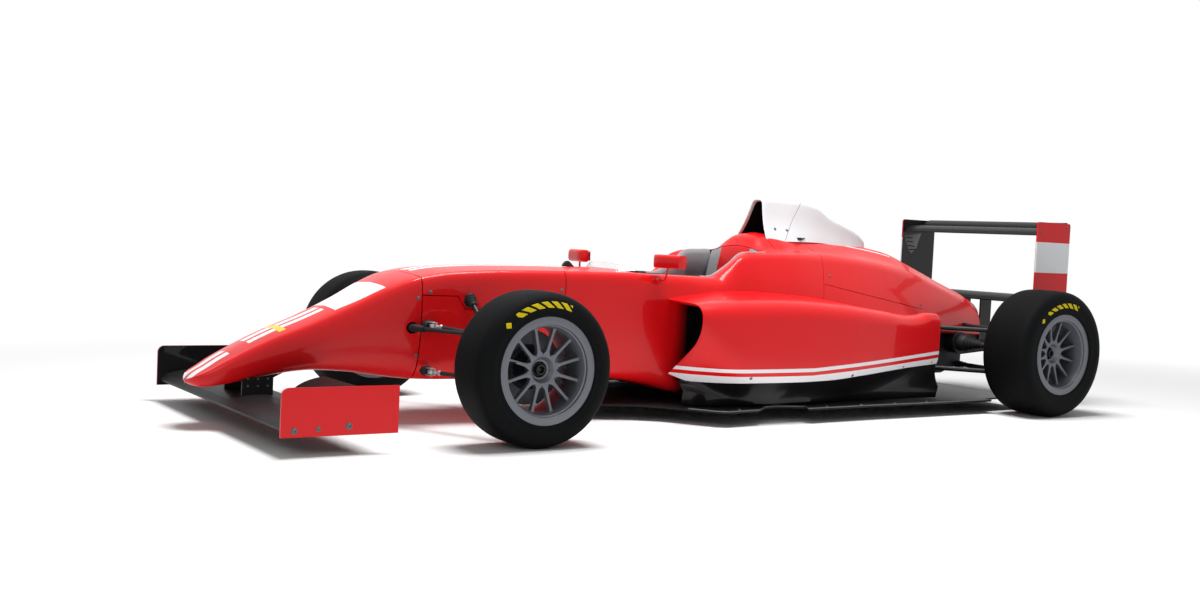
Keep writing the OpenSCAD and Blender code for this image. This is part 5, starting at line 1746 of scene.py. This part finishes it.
@dataclass
class Cockpit:
    """Rim and pads of the opening, seat, belts, steering wheel, dash details, screen and mirrors."""

    body: CentreBody

    def rim(self) -> None:
        """Rolled edge of the opening and the inner pads."""
        for name, places, finish in (("cockpit_front_rim", (0.337, 0.02), LAMINATE),
                                     ("cockpit_head_pads", (0.02, -0.330), PALE_PAD)):
            rings = []
            for i in range(33):
                x = places[0] + (places[1] - places[0]) * i / 32
                edge = self.body.section(x)
                top = min(edge, key=lambda p: abs(p.y - 0.192) + (0.0 if p.z > 0.55 else 9.0)).z
                rings.append([Vector((x, y, top + z)) for y, z in (
                    (0.200, 0.0005), (0.193, 0.003), (0.186, 0.001), (0.180, -0.008), (0.176, -0.020),
                    (0.176, -0.06), (0.182, -0.12), (0.205, -0.15))])
            shape = Shape.loft(rings)
            face = min(shape.bm.faces, key=lambda f: f.calc_center_median().z)
            if face.normal.z > 0:
                bmesh.ops.reverse_faces(shape.bm, faces=shape.bm.faces)
            shape.both_sides().thicken(0.003).piece(name, "chassis", finish)
        ring = [p for p in self.body.section(-0.334) if p.z > 0.6 and p.y < 0.176]
        ring = [Vector((p.x, -p.y, p.z)) for p in reversed(ring[1:])] + ring
        rows = [[Vector((p.x + ahead, p.y, p.z - drop)) for p in ring]
                for ahead, drop in ((-0.004, 0.001), (0.001, 0.004), (0.006, 0.010), (0.016, 0.05), (0.030, 0.11),
                                    (0.034, 0.17))]
        back = Shape.loft(rows).outward()
        face = min(back.bm.faces, key=lambda f: f.calc_center_median().z)
        if face.normal.x < 0:
            bmesh.ops.reverse_faces(back.bm, faces=back.bm.faces)
        sides = back.copy().drop(lambda c: abs(c.y) < 0.098)
        back.drop(lambda c: abs(c.y) >= 0.098)
        back.thicken(0.004).piece("headrest_front", "chassis", POD_RED, ["headrest"], "red_paint")
        sides.thicken(0.004).piece("headrest_side_pads", "chassis", PALE_PAD)
        front = Shape.box((0.330, -0.18, 0.50), (0.345, 0.18, 0.588), 0.004)
        front.add(Shape.box((0.3445, -0.20, 0.40), (0.36, 0.20, 0.52), 0.004))
        front.piece("dash_hood", "chassis", LAMINATE)

    def seat(self) -> None:
        """Moulded bucket seat with raised sides, seams, four belts and a buckle."""
        line = ((0.160, 0.150, 0.135), (0.10, 0.125, 0.140), (0.02, 0.098, 0.142), (-0.06, 0.090, 0.146),
                (-0.13, 0.105, 0.148), (-0.18, 0.150, 0.150), (-0.215, 0.220, 0.152), (-0.245, 0.30, 0.154),
                (-0.27, 0.39, 0.152), (-0.292, 0.47, 0.142), (-0.31, 0.535, 0.125))
        rings = []
        for i, (x, z, half) in enumerate(line):
            near = line[min(i + 1, len(line) - 1)]
            far = line[max(i - 1, 0)]
            up = Vector((near[1] - far[1], 0, far[0] - near[0])).normalized()
            ring = []
            for k in range(-12, 13):
                t = k / 12
                rise = 0.075 * abs(t) ** 5 + 0.008 * math.sin(math.pi * t * 2) ** 2
                ring.append(Vector((x, half * (t - 0.08 * t ** 5), z)) + up * rise)
            rings.append(ring)
        shape = Shape.loft(rings)
        shape.outward()
        bmesh.ops.subdivide_edges(shape.bm, edges=shape.bm.edges[:], cuts=1, use_grid_fill=True, smooth=1.0)
        shape.thicken(0.010)
        shape.piece("bucket_seat", "chassis", CLOTH, ["seat"], "seat_pad", 60)
        belts, buckles = Shape(), Shape()
        for side in SIDES:
            path = [(-0.285, 0.545, 0.075), (-0.262, 0.44, 0.070), (-0.232, 0.33, 0.062), (-0.195, 0.23, 0.045),
                    (-0.150, 0.165, 0.022)]
            belts.add(Shape.loft([[Vector((x + 0.013, side * (y + w), z + 0.010)) for w in (-0.024, -0.008, 0.008, 0.024)]
                                  for x, z, y in path]).thicken(0.002))
            lap = [(-0.10, 0.165, 0.135), (-0.115, 0.150, 0.09), (-0.130, 0.150, 0.035)]
            belts.add(Shape.loft([[Vector((x + w, side * y, z + 0.004)) for w in (-0.020, 0.0, 0.020)]
                                  for x, z, y in lap]).thicken(0.002))
        buckles.add(Shape.bar((-0.135, 0, 0.150), (-0.130, 0, 0.172), 0.030, bevel=0.003))
        belts.piece("belts", "chassis", Weave("belt_webbing", rgba(0.010, 0.010, 0.012), rough=0.8, mottle=0.3,
                                              grain=0.0003, pitch=0.0022), (), None, 60)
        buckles.piece("belt_buckle", "chassis", STEEL)

    def wheel(self) -> None:
        """Steering wheel with its grips, plate, screen, buttons, paddles and column."""
        centre = Vector((0.270, 0, 0.455))
        axis = Vector((-0.9781476, 0, 0.2079117))
        turn = Matrix.Translation(centre) @ axis.to_track_quat("Y", "Z").to_matrix().to_4x4()
        rings = []
        for i in range(72):
            angle = TAU * i / 72
            round_ = Vector((math.sin(angle), 0, math.cos(angle)))
            squash = 0.120 if abs(math.sin(angle)) < 0.5 else 0.120 + (abs(math.sin(angle)) - 0.5) * 0.0
            centre_line = Vector((round_.x * 0.120, 0, max(min(round_.z * squash, 0.100), -0.085)))
            grip = 0.0125 + 0.0035 * max(0.0, abs(round_.x) - 0.55)
            rings.append([centre_line + (round_ * math.cos(TAU * k / 14) + Y_AXIS * math.sin(TAU * k / 14)) * grip
                          for k in range(14)])
        rings.append([p.copy() for p in rings[0]])
        rim = Shape.loft(rings, closed=True)
        bmesh.ops.remove_doubles(rim.bm, verts=rim.bm.verts, dist=1e-6)
        rim.outward().place(turn)
        rim.piece("helm_rim", "helm", RUBBER_BOOT, ["steering_wheel"], "black_plastic", 60)
        plate = Shape.plate([(-0.062, -0.004, -0.078), (0.062, -0.004, -0.078), (0.095, -0.004, -0.030),
                             (0.112, -0.004, 0.030), (0.080, -0.004, 0.070), (-0.080, -0.004, 0.070),
                             (-0.112, -0.004, 0.030), (-0.095, -0.004, -0.030)], (0, 0.010, 0), 0.002)
        plate.add(Shape.box((-0.045, -0.030, -0.030), (0.045, -0.004, 0.030), 0.004))
        plate.add(Shape.bar((0, -0.035, 0), (0, -0.145, 0), 0.011, bevel=0.001))
        plate.add(Shape.bar((0, -0.030, 0), (0, -0.050, 0), 0.028, 0.018, bevel=0.001))
        for side in SIDES:
            plate.add(Shape.box((side * 0.045 - 0.020, -0.026, -0.012), (side * 0.045 + 0.045 * side + 0.0, -0.022, 0.022))
                      if side > 0 else Shape.box((-0.090, -0.026, -0.012), (-0.025, -0.022, 0.022)))
        plate.place(turn).piece("helm_plate", "helm", LAMINATE)
        knobs = Shape()
        for x, z, r in ((-0.058, 0.045, 0.007), (0.058, 0.045, 0.007), (-0.070, 0.020, 0.007), (0.070, 0.020, 0.007),
                        (-0.040, -0.045, 0.010), (0.040, -0.045, 0.010), (0.0, -0.055, 0.009)):
            knobs.add(Shape.bar((x, 0.005, z), (x, 0.013, z), r, sides=20, bevel=0.001))
        knobs.add(Shape.box((-0.034, 0.005, -0.012), (0.034, 0.009, 0.030), 0.002))
        knobs.place(turn).piece("helm_knobs", "helm", SATIN_BLACK)

    def screen(self) -> None:
        """Low clear screen ahead of the opening and the small dark fin before it."""
        rings = []
        for t in range(9):
            rise = t / 8
            ring = []
            for k in range(-14, 15):
                across = k / 14
                x = 0.432 - 0.088 * abs(across) ** 2.2 - 0.028 * rise
                height = 0.034 * rise * (1 - 0.75 * abs(across) ** 3)
                ring.append(Vector((x, across * 0.160, 0.5835 + height)))
            rings.append(ring)
        shape = Shape.loft(rings)
        face = shape.bm.faces[:][0]
        shape.outward()
        if face.normal.x < 0:
            bmesh.ops.reverse_faces(shape.bm, faces=shape.bm.faces)
        shape.thicken(0.002)
        shape.piece("clear_screen", "chassis", SCREEN, ["windscreen"], "clear_screen", 50)
        fin = Shape.plate([(0.575, -0.009, 0.589), (0.566, -0.009, 0.606), (0.556, -0.009, 0.615),
                           (0.546, -0.009, 0.617), (0.536, -0.009, 0.610), (0.522, -0.009, 0.597),
                           (0.510, -0.009, 0.589)], (0, 0.018, 0), 0.003)
        fin.piece("tub_top_fin", "chassis", RUBBER_BOOT)

    def mirrors(self) -> None:
        """Two mirrors on bent stalks."""
        shells, glass, feet = Shape(), Shape(), Shape()
        for side in SIDES:
            centre = Vector((0.279, side * 0.322, 0.634))
            shape = Shape()
            rings = []
            for i in range(15):
                t = i / 14
                along = -0.075 + 0.150 * t
                swell = math.sqrt(max(0.02, 1 - max(0.0, (t - 0.55) / 0.45) ** 3)) if t > 0.55 else 1.0
                ring = []
                for k in range(28):
                    a = TAU * k / 28
                    cx, cz = math.cos(a), math.sin(a)
                    px = math.copysign(abs(cx) ** 0.55, cx) * 0.027 * swell
                    pz = math.copysign(abs(cz) ** 0.55, cz) * 0.027 * (0.92 + 0.08 * swell)
                    ring.append(Vector((px if px > 0 else max(px, -0.022), -along * 1.0, pz)))
                rings.append(ring)
            shape = Shape.loft(rings, closed=True, capped=True).outward().bevelled(0.003, 2, 50)
            turn = Matrix.Rotation(math.radians(12 * side), 4, "Z")
            flip = Matrix.Diagonal((1, side, 1, 1))
            shape.place(Matrix.Translation(centre) @ turn @ flip)
            shells.add(shape)
            pane = Shape.box((-0.0232, -0.066, -0.020), (-0.0222, 0.056, 0.020), 0.0003)
            glass.add(pane.place(Matrix.Translation(centre) @ turn @ flip))
            knee = Vector((0.285, side * 0.312, 0.560))
            feet.add(Shape.bar(centre - Z_AXIS * 0.024, knee, 0.0042, sides=16))
            feet.add(Shape.ball(knee, 0.0045))
            feet.add(Shape.bar(knee, (0.292, side * 0.285, 0.556), 0.0042, sides=16))
            feet.add(Shape.bar((0.292, side * 0.290, 0.556), (0.293, side * 0.266, 0.553), 0.0095, 0.012, bevel=0.001))
        shells.piece("mirror_shells", "chassis", POD_RED, ["mirrors"], "red_paint", 60)
        glass.piece("mirror_glass", "chassis", MIRROR)
        feet.piece("mirror_stalks", "chassis", POD_RED)

    def build(self) -> None:
        """Make everything in and round the opening."""
        self.rim()
        self.seat()
        self.wheel()
        self.screen()
        self.mirrors()


# ----------------------------------------------------------------------- floor, wings and rear end


@dataclass
class Underbody:
    """Floor with its edge strips, screws and skid plank."""

    edge: tuple[tuple[float, float], ...] = (
        (0.675, 0.0), (0.675, 0.150), (0.560, 0.215), (0.400, 0.275), (0.300, 0.345), (0.235, 0.440),
        (0.165, 0.540), (0.131, 0.561), (-0.041, 0.545), (-0.129, 0.478), (-0.200, 0.470), (-0.318, 0.511),
        (-0.286, 0.566), (-0.644, 0.554), (-0.994, 0.556), (-1.420, 0.551), (-1.441, 0.540), (-1.441, 0.496),
        (-1.765, 0.470), (-1.765, 0.0))

    def build(self) -> None:
        """Make the floor and its edging."""
        floor = Shape()
        for side in SIDES:
            floor.add(Shape.plate([(x, side * y, 0.0545) for x, y in self.edge], (0, 0, 0.0075)))
        bmesh.ops.remove_doubles(floor.bm, verts=floor.bm.verts, dist=1e-5)
        floor.drop(lambda c: abs(c.y) < 1e-4)
        floor.bevelled(0.0012, 2, 40)
        floor.piece("floor_panel", "chassis", LAMINATE, ["floor"], "carbon")
        plank = Shape.plate([(0.640, -0.12, 0.040), (0.675, -0.09, 0.040), (0.675, 0.09, 0.040), (0.640, 0.12, 0.040),
                             (0.45, 0.15, 0.040), (-1.765, 0.15, 0.040), (-1.765, -0.15, 0.040), (0.45, -0.15, 0.040)],
                            (0, 0, 0.0145), 0.001)
        plank.piece("skid_plank", "chassis", RUBBER_BOOT)
        strips, screws = Shape(), Shape()
        for side in SIDES:
            for (x0, y0), (x1, y1) in zip(self.edge[5:15], self.edge[6:16]):
                start = Vector((x0, side * (y0 - 0.001), 0.0635))
                end = Vector((x1, side * (y1 - 0.001), 0.0635))
                strips.add(Shape.bar(start, end, 0.0022, sides=10))
            for x in (-0.42, -0.62, -0.82, -1.02, -1.22, 0.05):
                screws.add(bolt((x, side * 0.530, 0.062), Z_AXIS, 0.006))
        strips.piece("floor_edge_strips", "chassis", CALIPER_GREY)
        screws.piece("floor_screws", "chassis", CALIPER_GREY)


@dataclass
class WingDetails:
    """Louvred fans inside the rear plates with painted shade in their slots, rivets of the pylons and the lips of the
    wings.
    """

    fan: tuple[tuple[float, float], ...] = ((-1.849, 0.808), (-1.972, 0.822), (-1.946, 0.761), (-1.941, 0.741), (-1.903, 0.711), (-1.881, 0.728), (-1.858, 0.775))
    slots: tuple[tuple[float, float, float, float], ...] = ((-1.857, 0.794, -1.905, 0.794), (-1.864, 0.775, -1.91, 0.774), (-1.871, 0.754, -1.925, 0.749), (-1.888, 0.73, -1.935, 0.734))

    def build(self) -> None:
        """Make the small parts of both wings."""
        fans, slots, rivets = Shape(), Shape(), Shape()
        for side in SIDES:
            fans.add(Shape.plate([(x, side * 0.4275, z) for x, z in self.fan], (0, -side * 0.0022, 0), 0.0005))
            for x0, z0, x1, z1 in self.slots:
                slots.add(Shape.bar((x0, side * 0.4255, z0), (x1, side * 0.4255, z1), 0.0022, sides=10))
            for x in (1.815, 1.850, 1.885):
                for z in (0.150, 0.175):
                    rivets.add(bolt((x, side * 0.0985, z), (0, side, 0), 0.0028))
        fans.piece("rear_plate_fans", "chassis", CALIPER_GREY)
        # Near-black bars in the louvre slots paint the shade inside the openings.
        slots.piece("rear_plate_slot_shade", "chassis", SHADE_BLACK)
        rivets.piece("pylon_rivets", "chassis", CALIPER_GREY)
        lips = Shape.bar((-2.060, -0.425, 0.893), (-2.060, 0.425, 0.893), 0.0022, sides=10)
        lips.piece("rear_wing_lip", "chassis", SATIN_BLACK)


def dress(node: str, finish: Finish) -> None:
    """Give a CAD node a finish in its own slots.

    Args:
        node: Name of the node.
        finish: The finish.
    """
    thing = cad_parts[node]
    material = finish.material()
    if not thing.material_slots:
        thing.data.materials.append(material)
    for slot in thing.material_slots:
        slot.material = material
    LOG.info("%s: dressed", node)


FRAME_FINISHES: dict[str, Finish] = {
    "dash_panel": LAMINATE,
    "engine": CASTING,
    "exhaust_pipe": STEEL,
    "front_wing_endplates": FRONT_PLATE_PAINT,
    "front_wing_planes": LAMINATE,
    "gearbox": CASTING,
    "nose_pylons": LAMINATE,
    "rear_crash_structure": LAMINATE,
    "rear_uprights": CASTING,
    "rear_wing_endplates": REAR_PLATE_PAINT,
    "rear_wing_planes": LAMINATE,
    "rear_wing_struts": SATIN_BLACK,
    "rear_wishbones": SATIN_BLACK,
    "steering_mounts": CASTING,
}


def main() -> None:
    """Build every sub-assembly in order."""
    logging.basicConfig(level=logging.INFO, format="%(message)s")
    Studio().build()
    for side in SIDES:
        word = "left" if side > 0 else "right"
        Wheel(f"front_{word}", Vector((1.105, side * 0.692, 0.265)), side, 0.265, 0.215, 0.198, 0.034, 0.004).build()
        Wheel(f"rear_{word}", Vector((-1.645, side * 0.642, 0.287)), side, 0.287, 0.250, 0.230, 0.048, 0.006).build()
        corner = FrontCorner(side)
        corner.build()
        corner.caliper(-1.645, 0.595, 0.287, 1, f"rear_{word}_caliper", "chassis")
        Sidepod(side).build()
    body = CentreBody()
    body.build()
    Airbox().build()
    Fasteners().build()
    WingDetails().build()
    Cockpit(body).build()
    Underbody().build()
    for node, finish in FRAME_FINISHES.items():
        dress(node, finish)


if __name__ == "__main__":
    main()
